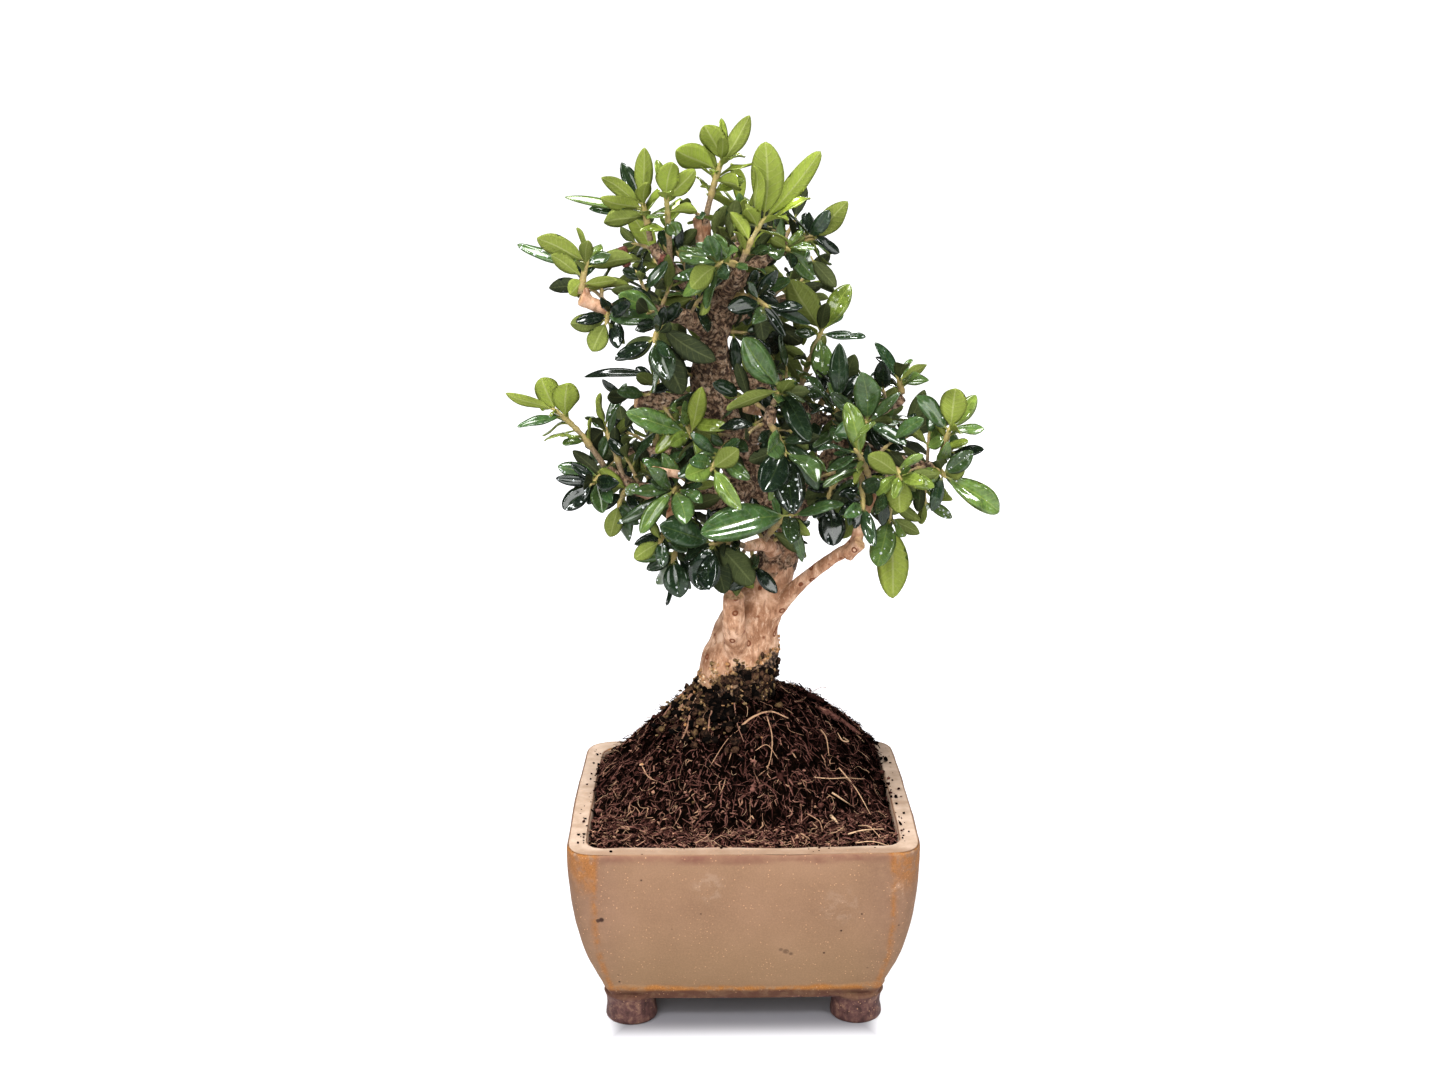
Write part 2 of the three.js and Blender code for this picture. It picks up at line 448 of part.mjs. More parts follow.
// The foot of the trunk stands in a plain round hole in the soil and flares above it.
function rootPlug() {
  const { x, y } = TRUNK_FOOT;
  const bottom = PLUG_BOTTOM + SEAT_GAP;
  return loft([
    disc(PLUG_RADIUS - 3, 24, bottom, x, y),
    disc(PLUG_RADIUS, 24, bottom + 5, x, y),
    disc(PLUG_RADIUS, 24, SOIL_LEVEL + MOUND_HEIGHT + 3, x, y),
    disc(PLUG_RADIUS - 3, 24, SOIL_LEVEL + MOUND_HEIGHT + 8, x, y),
  ]);
}

function buildTrunk(margin = 0) {
  const limbs = Object.keys(LIMBS).map((name) => limbSolid(name, margin));
  return limbs.reduce((whole, limb) => whole.add(limb), rootPlug()).asOriginal().simplify(TIDY_TOLERANCE);
}

function limbPoint(name, t) {
  const points = LIMBS[name];
  const place = t * (points.length - 1);
  const first = Math.min(Math.floor(place), points.length - 2);
  return between(vector(points[first]), vector(points[first + 1]), place - first);
}

// A shoot's twig, as a gently rising curve with a fixed side direction.
function twigOf(shoot) {
  const foot = limbPoint(shoot.limb, shoot.at);
  const tip = vector(shoot.tip);
  const length = foot.distanceTo(tip);
  const bend = between(foot, tip, 0.5).add(new THREE.Vector3(0, 0, TWIG_LIFT * length));
  const chord = tip.clone().sub(foot).normalize();
  const upright = Math.abs(chord.z) > 0.9;
  const reference = upright ? new THREE.Vector3(1, 0, 0) : new THREE.Vector3(0, 0, 1);
  const pointAt = (u) => foot.clone().multiplyScalar((1 - u) * (1 - u))
    .addScaledVector(bend, 2 * u * (1 - u)).addScaledVector(tip, u * u);
  const tangentAt = (u) => bend.clone().sub(foot).multiplyScalar(1 - u)
    .addScaledVector(tip.clone().sub(bend), u).normalize();
  const frameAt = (u) => {
    const tangent = tangentAt(u);
    const side = reference.clone().cross(tangent).normalize();
    return { tangent, side, across: tangent.clone().cross(side) };
  };
  return { length, pointAt, frameAt };
}

// A leaf's upper face looks towards its twig's tip, and a little towards the sky.
// A facing of 1 or -1 turns its upper or its under face to the front as well.
function leafNormal(direction, tangent, facing) {
  const normal = tangent.clone().add(new THREE.Vector3(0, 0, 0.7)).addScaledVector(FRONT, facing);
  normal.addScaledVector(direction, -normal.dot(direction));
  return normal.normalize();
}

function leafCentre(leaf, s) {
  return between(leaf.base, leaf.tip, s)
    .addScaledVector(leaf.normal, 4 * leaf.arch * leaf.length * s * (1 - s));
}

function makeLeaf(base, tip, tangent, width, arch, facing = 0) {
  const direction = tip.clone().sub(base);
  const length = direction.length();
  direction.normalize();
  const normal = leafNormal(direction, tangent, facing);
  return { base, tip, length, normal, side: direction.clone().cross(normal), width, arch };
}

// Points spread over a blade, used to keep leaves out of each other's way.
function leafSamples(leaf) {
  const samples = [leaf.tip.clone(), leafCentre(leaf, 0.2)];
  for (const s of [0.4, 0.6, 0.8]) {
    for (const edge of [-0.45, 0, 0.45]) {
      samples.push(leafCentre(leaf, s).addScaledVector(leaf.side, edge * leaf.width * (1.5 - s)));
    }
  }
  return samples;
}

const tooClose = (samples, others, gap) =>
  samples.some((point) => others.some((other) => point.distanceToSquared(other) < gap * gap));

// Places all leaves of all shoots, clear of limbs, other twigs and other shoots' leaves.
function growLeaves() {
  const shoots = SHOOTS.map((shoot) => ({ ...shoot, twig: twigOf(shoot), leaves: [], samples: [] }));
  const limbSamples = [];
  for (const name of Object.keys(LIMBS)) {
    const steps = 6 * (LIMBS[name].length - 1);
    for (let k = 0; k <= steps; k++) {
      const place = k / 6;
      const first = Math.min(Math.floor(place), LIMBS[name].length - 2);
      const radius = THREE.MathUtils.lerp(LIMBS[name][first][3], LIMBS[name][first + 1][3], place - first);
      limbSamples.push({ point: limbPoint(name, k / steps), radius });
    }
  }
  const hitsLimb = (samples) => samples.some((point) => limbSamples.some((limb) =>
    point.distanceTo(limb.point) < limb.radius + LIMB_CLEARANCE));
  for (const shoot of shoots) {
    const steps = Math.ceil(shoot.twig.length / 3);
    shoot.twigSamples = Array.from({ length: steps }, (_, k) => shoot.twig.pointAt((k + 1) / steps));
  }
  const keep = (shoot, leaf) => {
    shoot.leaves.push(leaf);
    shoot.samples.push(...leafSamples(leaf));
  };
  for (const shoot of shoots) {
    for (const [tip, width, at, facing] of shoot.own) {
      const { tangent } = shoot.twig.frameAt(at);
      keep(shoot, makeLeaf(shoot.twig.pointAt(at), vector(tip), tangent, width, LEAF_ARCH / 2, facing));
    }
  }
  shoots.forEach((shoot, index) => {
    const random = randomStream(index + 1);
    const spacing = Math.min(PAIR_SPACING, 0.72 * shoot.twig.length / Math.max(1, shoot.pairs));
    for (let pair = 0; pair < shoot.pairs; pair++) {
      const u = 0.98 - pair * spacing / shoot.twig.length;
      const base = shoot.twig.pointAt(u);
      const { tangent, side, across } = shoot.twig.frameAt(u);
      for (const half of [0, 1]) {
        for (let attempt = 0; attempt < LEAF_TRIES; attempt++) {
          const draws = [random(), random(), random(), random(), random()];
          const loose = 0.35 + 0.09 * attempt;
          const azimuth = index * GOLDEN_ANGLE + (pair + 2 * half) * Math.PI / 2 + (draws[0] - 0.5) * 2 * loose;
          const opening = OPENING_AT_TIP + OPENING_STEP * pair + (draws[1] - 0.5) * loose;
          const length = shoot.leaf * (0.95 + 0.35 * draws[2]) * (attempt > 8 ? 0.8 : 1);
          const width = length * LEAF_WIDTH_RATIO * (0.85 + 0.3 * draws[3]);
          const out = side.clone().multiplyScalar(Math.cos(azimuth)).addScaledVector(across, Math.sin(azimuth));
          const root = base.clone().addScaledVector(out, ROOT_OFFSET);
          const tip = root.clone()
            .addScaledVector(tangent, length * Math.cos(opening))
            .addScaledVector(out, length * Math.sin(opening));
          const leaf = makeLeaf(root, tip, tangent, width, LEAF_ARCH * (0.4 + draws[4]));
          const samples = leafSamples(leaf);
          const blocked = hitsLimb(samples) || tooClose(samples, shoot.samples, TWIN_CLEARANCE)
            || shoots.some((other) => other !== shoot && (tooClose(samples, other.samples, LEAF_CLEARANCE)
              || tooClose(samples, other.twigSamples, TWIG_CLEARANCE)));
          if (!blocked) {
            keep(shoot, leaf);
            break;
          }
        }
      }
    }
  });
  return shoots;
}

// A blade with a flat upper face and a keel below, on a petiole sunk in the twig.
function leafSolid(leaf) {
  const section = (s, half, depth) => {
    const centre = leafCentre(leaf, s);
    const lift = BLADE_FOLD * half;
    return [
      centre.clone().addScaledVector(leaf.side, -half).addScaledVector(leaf.normal, lift),
      centre.clone().addScaledVector(leaf.side, half).addScaledVector(leaf.normal, lift),
      centre.clone().addScaledVector(leaf.normal, lift - depth),
    ];
  };
  return loft([
    section(0, PETIOLE_HALF, PETIOLE_HALF),
    section(PETIOLE_END, PETIOLE_HALF, PETIOLE_HALF),
    ...BLADE_SECTIONS.map(({ s, w }) => section(s, leaf.width * w / 2, BLADE_DEPTH)),
    [leafCentre(leaf, 1)],
  ]);
}

function twigSolid({ twig }) {
  const rings = [];
  const steps = Math.ceil(twig.length / TWIG_STEP);
  for (let k = 0; k <= steps; k++) {
    const u = k / steps;
    const { side, across } = twig.frameAt(u);
    const radius = THREE.MathUtils.lerp(TWIG_BASE_RADIUS, TWIG_TIP_RADIUS, u);
    const centre = twig.pointAt(u);
    rings.push([[1, 0], [0, 1], [-1, 0], [0, -1]].map(([a, b]) => centre.clone()
      .addScaledVector(side, a * radius).addScaledVector(across, b * radius)));
  }
  return loft(rings);
}

// Twig and leaves fused, cut back from the branch that carries them; loose scraps are dropped.
function sprayBody(shoot, branches) {
  const whole = shoot.leaves.reduce((body, leaf) => body.add(leafSolid(leaf)), twigSolid(shoot));
  const pieces = whole.subtract(branches).asOriginal().simplify(TIDY_TOLERANCE).decompose();
  return pieces.reduce((largest, piece) => (piece.volume() > largest.volume() ? piece : largest));
}

function leafMaterial(age) {
  const young = new THREE.Color(0x8fa83c);
  const old = new THREE.Color(0x1f3a24);
  return new THREE.MeshStandardMaterial({
    color: young.lerp(old, age), roughness: 0.35, metalness: 0, flatShading: true });
}

const plain = (color, roughness) =>
  new THREE.MeshStandardMaterial({ color, roughness, metalness: 0, flatShading: true });

function buildBonsai() {
  const tree = new THREE.Group();
  tree.add(meshOf("pot", buildPot(), plain(colours.pot, 0.75)));
  tree.add(meshOf("drain_screen", buildScreen(), plain(colours.screen, 0.6)));
  tree.add(meshOf("soil", buildSoil(), plain(colours.soil, 0.95)));
  tree.add(meshOf("trunk", buildTrunk(), plain(colours.bark, 0.85)));
  const branches = buildTrunk(SEAT_GAP);
  growLeaves().forEach((shoot, index) => {
    const name = `spray_${String(index + 1).padStart(2, "0")}`;
    tree.add(meshOf(name, sprayBody(shoot, branches), leafMaterial(shoot.age)));
  });
  return tree;
}

// The origin goes under the middle of the whole object.
const bonsai = new THREE.Group();
const tree = buildBonsai();
const bounds = new THREE.Box3().setFromObject(tree);
tree.position.set(-(bounds.min.x + bounds.max.x) / 2, -(bounds.min.y + bounds.max.y) / 2, -bounds.min.z);
bonsai.add(tree);
bonsai.updateMatrixWorld(true);

export default bonsai;
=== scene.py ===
# The looks of a dwarf olive bonsai in a square stoneware pot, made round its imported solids.
# Places are given in millimetres from the middle of the pot's foot plane and become metres in the meshes.
import math

import bpy
import numpy as np
from mathutils import Matrix, Vector, kdtree


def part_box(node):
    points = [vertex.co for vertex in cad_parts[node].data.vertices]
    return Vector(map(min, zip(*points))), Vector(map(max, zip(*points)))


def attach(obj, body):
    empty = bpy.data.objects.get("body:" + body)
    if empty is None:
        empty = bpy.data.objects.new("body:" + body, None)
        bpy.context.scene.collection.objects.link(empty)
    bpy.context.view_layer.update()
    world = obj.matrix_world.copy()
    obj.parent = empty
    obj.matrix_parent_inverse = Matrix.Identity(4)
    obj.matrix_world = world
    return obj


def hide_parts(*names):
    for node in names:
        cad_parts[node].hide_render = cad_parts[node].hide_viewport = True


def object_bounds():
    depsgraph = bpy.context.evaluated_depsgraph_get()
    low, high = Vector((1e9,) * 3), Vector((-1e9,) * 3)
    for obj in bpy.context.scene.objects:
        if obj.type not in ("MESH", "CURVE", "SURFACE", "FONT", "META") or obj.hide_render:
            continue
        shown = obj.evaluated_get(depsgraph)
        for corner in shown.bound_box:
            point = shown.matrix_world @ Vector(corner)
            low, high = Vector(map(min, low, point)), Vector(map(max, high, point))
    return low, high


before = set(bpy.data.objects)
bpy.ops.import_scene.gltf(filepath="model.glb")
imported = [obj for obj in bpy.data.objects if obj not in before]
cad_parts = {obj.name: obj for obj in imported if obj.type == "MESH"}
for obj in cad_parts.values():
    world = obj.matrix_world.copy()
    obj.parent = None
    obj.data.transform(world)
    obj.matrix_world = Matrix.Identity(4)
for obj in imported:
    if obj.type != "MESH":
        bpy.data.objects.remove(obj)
cad_low, cad_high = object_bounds()
pot_low, pot_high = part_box("pot")
POT_MIDDLE = np.array([(pot_low.x + pot_high.x) / 2, (pot_low.y + pot_high.y) / 2, 0.0])
MM = 0.001

# Pot: height, half-width across the flats and corner cut, from the underside to the rim, then inside.
POT_OUTSIDE = [
    (11.5, 57.4, 3), (13.5, 58.3, 3.2), (18, 60.5, 4), (25, 63.8, 5.4), (35, 68, 7.4),
    (50, 72.3, 10.2), (68, 74.8, 12.8), (82, 75, 14), (83.4, 74.2, 13.8),
]
POT_INSIDE = [(83.4, 66.4, 9.5), (82.2, 65.6, 9.5), (60, 63.5, 8.5), (36, 58, 7), (22, 50, 4.5), (20, 47, 4)]
POT_FLOOR = 20
SIDE_BOW = 0.8
FOOT_SPREAD = 48.4
DRAIN_RADIUS = 10

# Soil: level against the rim, and the old root ball heaped up round the trunk.
SEAT_GAP = 0.3
SCREEN_TOP = 21.6
SCREEN_RECESS_RADIUS = 26
SOIL_LEVEL = 80.5
MOUND_HEIGHT = 45
FLANK_ANGLES = [0, 45, 90, 180, 270, 360]
FLANK_REACHES = [70, 92, 62, 70, 56, 70]
FLANK_BULGES = [1.3, 1.5, 1.3, 1.05, 1.1, 1.3]
TRUNK_FOOT = np.array([-3.0, 17.0])
PLUG_RADIUS = 18.8
PLUG_BOTTOM = 94

# Trunk and branches, the same as in the part: x, y, z and radius along each limb.
LIMBS = {
    "trunk": [
        [-3, 17, 124, 17], [-2, 16, 135, 17], [1, 15, 145, 16], [4, 14, 159, 14.3], [10, 13, 172, 10.8],
        [16, 14, 187, 9.5], [18, 18, 202, 9], [10, 22, 217, 9.5], [-2, 22, 236, 9.5], [-11, 20, 254, 9.5],
        [-12, 18, 270, 9], [-10, 16, 287, 5.8], [-6, 16, 302, 6], [-5, 18, 315, 4], [-7, 20, 326, 3],
    ],
    "stub_front": [[-1, 8, 144, 6.4], [-3, -5, 161, 5.2], [-3, -9, 177, 4.6]],
    "right_thin": [
        [12, 10, 162, 5], [26, 2, 179, 3.1], [39, -4, 191, 2.8], [49, -8, 199, 2.7], [52, -10, 209, 2.3],
        [57, -12, 222, 2],
    ],
    "right_main": [
        [18, 18, 200, 7], [27, 26, 210, 6], [37, 28, 225, 5], [47, 24, 239, 4.2], [59, 20, 251, 3.2],
        [72, 18, 259, 2.3],
    ],
    "right_front": [[34, 24, 221, 4], [44, 2, 227, 3], [53, -10, 232, 2.5], [65, -18, 234, 2.4]],
    "right_back": [[37, 30, 225, 4], [52, 54, 228, 3.2], [70, 72, 227, 2.4]],
    "right_far": [[47, 24, 239, 3.6], [64, 12, 234, 3], [77, 8, 231, 2.6], [87, 6, 230, 2]],
    "mid_right": [[-10, 20, 269, 4.5], [19, 34, 260, 3.6], [33, 44, 247, 3], [44, 52, 244, 2.3]],
    "left_low": [
        [8, 20, 221, 6], [-4, 7, 219, 5.5], [-17, 0, 217, 4.6], [-32, -3, 220, 3.8], [-47, -2, 224, 3],
        [-58, 0, 231, 2.3],
    ],
    "left_back": [[-2, 24, 235, 5], [-18, 50, 228, 4], [-37, 66, 228, 3], [-55, 72, 227, 2.3]],
    "left_stub": [[-13, 18, 256, 5], [-29, 8, 259, 4.2], [-45, 4, 261, 3.9]],
    "left_down": [[-26, -2, 219, 3.6], [-29, -10, 210, 3], [-26, -14, 200, 2.3]],
    "front_mid": [[-8, 16, 243, 5], [-1, -6, 244, 3.6], [10, -22, 251, 3], [13, -26, 261, 2.2]],
    "front_low": [[16, 12, 190, 4.4], [11, -8, 199, 3.2], [2, -22, 201, 2.4]],
    "back_mid": [[5, 26, 226, 5], [10, 54, 226, 3.8], [13, 74, 232, 2.6]],
    "crown_left": [[-7, 16, 299, 4.6], [-17, 6, 307, 3.6], [-28, 0, 316, 3], [-37, -2, 327, 2.3]],
    "crown_low": [
        [-10, 14, 287, 4.6], [-21, -4, 296, 3.8], [-37, -14, 300, 3.2], [-53, -18, 301, 2.9],
        [-66, -22, 306, 2.7],
    ],
    "crown_right": [[-5, 16, 307, 4], [6, 14, 316, 3.4], [16, 18, 323, 2.8], [27, 20, 326, 2]],
    "crown_front": [[-6, 14, 305, 4], [-2, -8, 312, 3], [1, -16, 318, 2.2]],
    "crown_back": [[-5, 18, 306, 4], [-1, 44, 314, 3], [0, 60, 324, 2.2]],
    "crown_back_left": [[-7, 18, 300, 4], [-21, 42, 306, 3.2], [-36, 56, 312, 2.3]],
    "crown_top": [[-5, 18, 314, 3.6], [-14, 12, 324, 3], [-14, 8, 337, 2.2]],
    "crown_back_right": [[-7, 18, 294, 4], [10, 42, 297, 3], [22, 56, 299, 2.2]],
}

# Leafy shoots, the same as in the part: limb, place along it, tip, pairs of leaves, their length and age
# from 0 to 1. Single leaves follow: tip, width, place along the twig, and the face turned to the front, 1 for
# the upper one and -1 for the under one.
SHOOTS = [
    ("crown_top", 1, (-7, 6, 361), 2, 15, 0, [
        ((-14, 2, 376), 11, 1, -1), ((5, 8, 380), 8, 0.97, -1), ((-7, 12, 379), 6, 0.99),
        ((-26, -4, 366), 12, 0.8, -1), ((0, -10, 351), 8, 0.6, -1)]),
    ("crown_front", 0.5, (10, -10, 337), 1, 22, 0.1, [
        ((11, -14, 369), 14, 1, -1), ((34, -6, 365), 9, 0.98, -1)]),
    ("crown_right", 1, (32, 20, 328), 0, 18, 0.6, [
        ((47, 16, 344), 10, 1, -1), ((18, 14, 343), 4, 0.97)]),
    ("crown_left", 1, (-40, -4, 344), 2, 18, 0.25, [
        ((-39, -6, 367), 8, 1, -1), ((-57, -8, 355), 7, 0.95, -1), ((-73, -2, 347), 5, 0.8, 1),
        ((-56, -14, 337), 8, 0.7, -1), ((-57, -18, 347), 8, 0.85, -1), ((-49, 2, 361), 7, 0.9, 1),
        ((-63, 0, 342), 7, 0.75, 1)]),
    ("crown_left", 0.7, (-30, -14, 347), 1, 16, 0.1, [
        ((-27, -20, 361), 10, 1, -1), ((-18, -12, 358), 9, 0.97, -1), ((-34, -8, 362), 5, 0.95, 1),
        ((-26, -10, 331), 8, 0.6, 1)]),
    ("crown_low", 1, (-63, -18, 321), 1, 14, 0.4, [
        ((-92, -14, 328), 6, 0.97, 1), ((-83, -22, 331), 10, 1, -1), ((-53, -18, 324), 6, 0.9, 1),
        ((-70, -24, 308), 8, 0.45, -1), ((-44, -14, 322), 8, 0.8, -1), ((-46, -10, 311), 6, 0.25, -1)]),
    ("crown_front", 1, (-9, -30, 320), 2, 20, 0.5, [
        ((-20, -44, 312), 10, 1, -1), ((-13, -34, 332), 8, 0.95, 1), ((-27, -38, 315), 5, 0.8, 1),
        ((-25, -20, 324), 8, 0.7, 1)]),
    ("crown_low", 0.75, (-55, -24, 297), 0, 20, 0.7, [
        ((-61, -28, 285), 9, 1, -1), ((-70, -24, 296), 8, 0.9, -1)]),
    ("crown_low", 0.4, (-35, -32, 290), 1, 15, 0.9, [
        ((-29, -38, 274), 11, 1, 1), ((-48, -34, 283), 8, 0.9, -1), ((-24, -28, 267), 12, 0.85, -1),
        ((-10, -30, 281), 10, 0.6, -1), ((-50, -24, 308), 10, 0.3, 1), ((-54, -26, 299), 7, 0.45, 1)]),
    ("mid_right", 0.5, (37, 38, 286), 1, 15, 0.6, [
        ((23, 34, 310), 14, 1, -1), ((50, 42, 307), 10, 0.98, 1), ((57, 36, 284), 6, 0.97, 1),
        ((25, 38, 286), 5, 0.96, 1), ((37, 34, 266), 10, 0.93, 1)]),
    ("mid_right", 1, (47, 56, 252), 3, 18, 1, []),
    ("mid_right", 0.72, (42, 34, 262), 3, 18, 1, []),
    ("right_main", 1, (70, 16, 267), 2, 16, 0.8, [
        ((82, 14, 274), 5, 0.97, -1), ((83, 14, 267), 6, 0.96, 1)]),
    ("right_main", 0.72, (55, 2, 250), 1, 18, 0.7, [
        ((52, -4, 273), 12, 1, 1), ((69, -2, 264), 5, 0.97), ((70, -4, 239), 10, 0.95, 1),
        ((39, -2, 264), 6, 0.93, 1)]),
    ("right_far", 1, (91, 4, 247), 0, 13, 0.1, [
        ((93, 2, 265), 12, 1, -1), ((103, 10, 261), 8, 0.95, 1), ((76, 2, 262), 10, 0.93, 1),
        ((82, 6, 239), 7, 0.7, 1)]),
    ("right_far", 0.9, (88, -4, 228), 0, 14, 0.6, [
        ((113, 0, 211), 11, 1, 1), ((100, -6, 239), 8, 0.9, 1), ((97, -4, 231), 8, 0.85, -1),
        ((76, -6, 227), 7, 0.8, 1)]),
    ("right_far", 0.5, (64, -8, 209), 1, 15, 0.5, [
        ((66, -10, 175), 14, 1, -1), ((58, -22, 192), 11, 0.97, 1), ((77, -12, 204), 6, 0.98, -1)]),
    ("right_far", 0.75, (82, 14, 213), 1, 12, 0.5, [
        ((94, 12, 206), 5, 1, 1)]),
    ("left_low", 1, (-79, -2, 257), 1, 12, 0.2, [
        ((-85, 0, 271), 11, 1, -1), ((-73, -10, 270), 12, 0.8, -1), ((-100, -4, 265), 5, 1, -1),
        ((-95, -8, 251), 5, 0.85, 1)]),
    ("left_low", 0.86, (-59, 10, 248), 1, 13, 0.7, [
        ((-67, 4, 240), 11, 0.95, -1), ((-49, 12, 267), 5, 1, 1), ((-64, 8, 232), 8, 0.85, 1)]),
    ("left_low", 0.95, (-63, -10, 227), 2, 15, 0.8, [
        ((-79, -10, 229), 5, 0.9, 1), ((-76, -12, 216), 9, 1, 1), ((-59, -12, 214), 8, 0.8, 1)]),
    ("left_low", 0.8, (-52, -12, 218), 2, 16, 0.6, [
        ((-56, -14, 204), 8, 1, -1)]),
    ("left_stub", 0.45, (-21, -16, 248), 2, 18, 0.3, [
        ((-48, -22, 259), 10, 0.97, 1), ((-16, -18, 269), 8, 1, -1)]),
    ("front_mid", 0.3, (-12, -34, 237), 2, 18, 0.6, [
        ((-1, -40, 246), 9, 1, -1), ((-23, -42, 235), 10, 0.95, 1)]),
    ("front_mid", 0.8, (18, -38, 244), 2, 22, 0.9, [
        ((9, -46, 229), 14, 0.9, 1), ((21, -48, 220), 14, 1, 1)]),
    ("front_low", 0.6, (21, -30, 216), 1, 20, 0.6, [
        ((-17, -46, 212), 15, 1, 1), ((26, -26, 195), 5, 0.95, 1)]),
    ("front_low", 1, (-12, -34, 205), 2, 20, 0.95, [
        ((-17, -42, 187), 14, 1, 1), ((-34, -38, 214), 12, 0.95, 1), ((5, -32, 187), 12, 0.9, -1),
        ((-7, -36, 184), 10, 0.95, -1)]),
    ("right_front", 0.3, (38, -6, 219), 1, 18, 1, [
        ((40, -12, 199), 12, 1, 1), ((31, -16, 212), 7, 0.9, 1)]),
    ("right_front", 1, (67, -24, 231), 1, 14, 0.4, [
        ((67, -26, 216), 11, 1, -1), ((53, -28, 241), 9, 0.95, -1)]),
    ("left_down", 1, (-29, -18, 195), 2, 18, 0.9, [
        ((-26, -22, 179), 12, 1, 1), ((-32, -20, 175), 4, 0.8)]),
    ("left_down", 0.6, (-34, -28, 205), 0, 14, 0.7, [
        ((-45, -30, 198), 7, 1, -1), ((-33, -30, 194), 6, 0.9, 1)]),
    ("left_low", 0.5, (-28, -32, 227), 3, 18, 0.7, [
        ((-42, -36, 210), 7, 0.9, 1), ((-52, -30, 213), 6, 0.85, 1)]),
    ("right_main", 0.5, (43, 6, 259), 3, 20, 0.9, []),
    ("right_thin", 1, (48, -28, 243), 3, 20, 0.6, []),
    ("right_back", 1, (81, 82, 232), 4, 22, 0.8, []),
    ("right_back", 0.6, (59, 70, 208), 4, 22, 0.9, []),
    ("right_back", 0.8, (66, 70, 246), 4, 20, 0.6, []),
    ("left_back", 0.85, (-52, 84, 214), 3, 18, 0.7, []),
    ("left_back", 0.7, (-38, 76, 238), 3, 18, 0.5, []),
    ("left_back", 0.8, (-42, 76, 208), 4, 20, 0.9, []),
    ("back_mid", 1, (13, 82, 250), 4, 22, 0.5, []),
    ("back_mid", 0.8, (-6, 84, 208), 4, 22, 0.9, []),
    ("back_mid", 0.9, (33, 84, 212), 4, 22, 0.8, []),
    ("crown_back", 1, (2, 66, 339), 4, 22, 0.2, []),
    ("crown_back", 0.7, (9, 60, 317), 3, 17, 0.5, []),
    ("crown_back_left", 1, (-38, 66, 318), 4, 20, 0.4, []),
    ("crown_back_left", 0.7, (-26, 70, 290), 4, 22, 0.8, []),
    ("crown_back_right", 1, (26, 66, 298), 4, 18, 0.6, []),
    ("crown_back_right", 0.7, (14, 62, 280), 4, 22, 0.8, []),
    ("left_stub", 0.7, (-36, 14, 271), 0, 13, 0.9, [
        ((-68, 18, 269), 5, 0.9, 1), ((-23, 14, 267), 6, 1, 1)]),
    ("crown_right", 0.7, (21, 12, 324), 1, 13, 0.5, [
        ((12, 10, 323), 8, 0.95, 1), ((33, 14, 311), 9, 1, 1)]),
    ("front_mid", 1, (17, -28, 269), 0, 20, 0.7, [
        ((1, -36, 291), 13, 1, 1), ((28, -42, 249), 11, 0.95, 1), ((-6, -38, 262), 7, 0.9, -1)]),
    ("right_front", 0.6, (51, -32, 220), 2, 14, 0.7, []),
    ("left_back", 0.45, (-22, 58, 247), 4, 22, 0.8, []),
    ("right_main", 0.3, (37, 56, 236), 3, 22, 0.9, []),
    ("trunk", 0.86, (11, -14, 302), 2, 16, 0.9, [
        ((30, -10, 294), 5, 1, 1), ((-5, -24, 302), 8, 0.9, 1), ((10, -18, 288), 8, 0.8, -1)]),
]

# How leaves stand on their twigs: the same rule and the same draws as the solids.
PAIR_SPACING = 8
GOLDEN_ANGLE = 2.39996
OPENING_AT_TIP = 0.68
OPENING_STEP = 0.26
LEAF_TRIES = 14
LEAF_CLEARANCE = 5.2
TWIN_CLEARANCE = 2.6
LIMB_CLEARANCE = 2.2
TWIG_CLEARANCE = 3.6
LEAF_WIDTH_RATIO = 0.41
LEAF_ARCH = 0.07
PAIR_SLIMNESS = 0.88
FRONT = np.array([0, -3, 0.6])
TWIG_LIFT = 0.16
ROOT_OFFSET = 0.45
TWIG_BASE_RADIUS = 1.35
TWIG_TIP_RADIUS = 0.75


# Small tools for points, noise and meshes.
def unit(vectors):
    return vectors / np.maximum(np.linalg.norm(vectors, axis=-1, keepdims=True), 1e-9)


def smooth_step(x, low, high):
    t = np.clip((x - low) / (high - low), 0, 1)
    return t * t * (3 - 2 * t)


def lattice(cells, seed):
    """A fixed value from -1 to 1 for each corner of a grid, made by a whole-number hash."""
    x, y, z = cells[..., 0], cells[..., 1], cells[..., 2]
    mixed = x * 374761393 + y * 668265263 + z * 1440662683 + seed * 974711
    mixed &= 0xFFFFFFFF
    mixed = ((mixed ^ (mixed >> 13)) * 1274126177) & 0xFFFFFFFF
    return ((mixed ^ (mixed >> 16)) & 0xFFFF) / 32767.5 - 1


def noise(points, size, seed=0):
    """Smooth noise from -1 to 1, with features of about the given size."""
    scaled = np.asarray(points, float) / size + 517.3
    cell = np.floor(scaled).astype(np.int64)
    part = scaled - cell
    part = part * part * (3 - 2 * part)
    total = np.zeros(scaled.shape[:-1])
    for corner in range(8):
        offset = np.array([corner & 1, corner >> 1 & 1, corner >> 2 & 1])
        weight = np.prod(np.where(offset == 1, part, 1 - part), axis=-1)
        total += weight * lattice(cell + offset, seed)
    return total


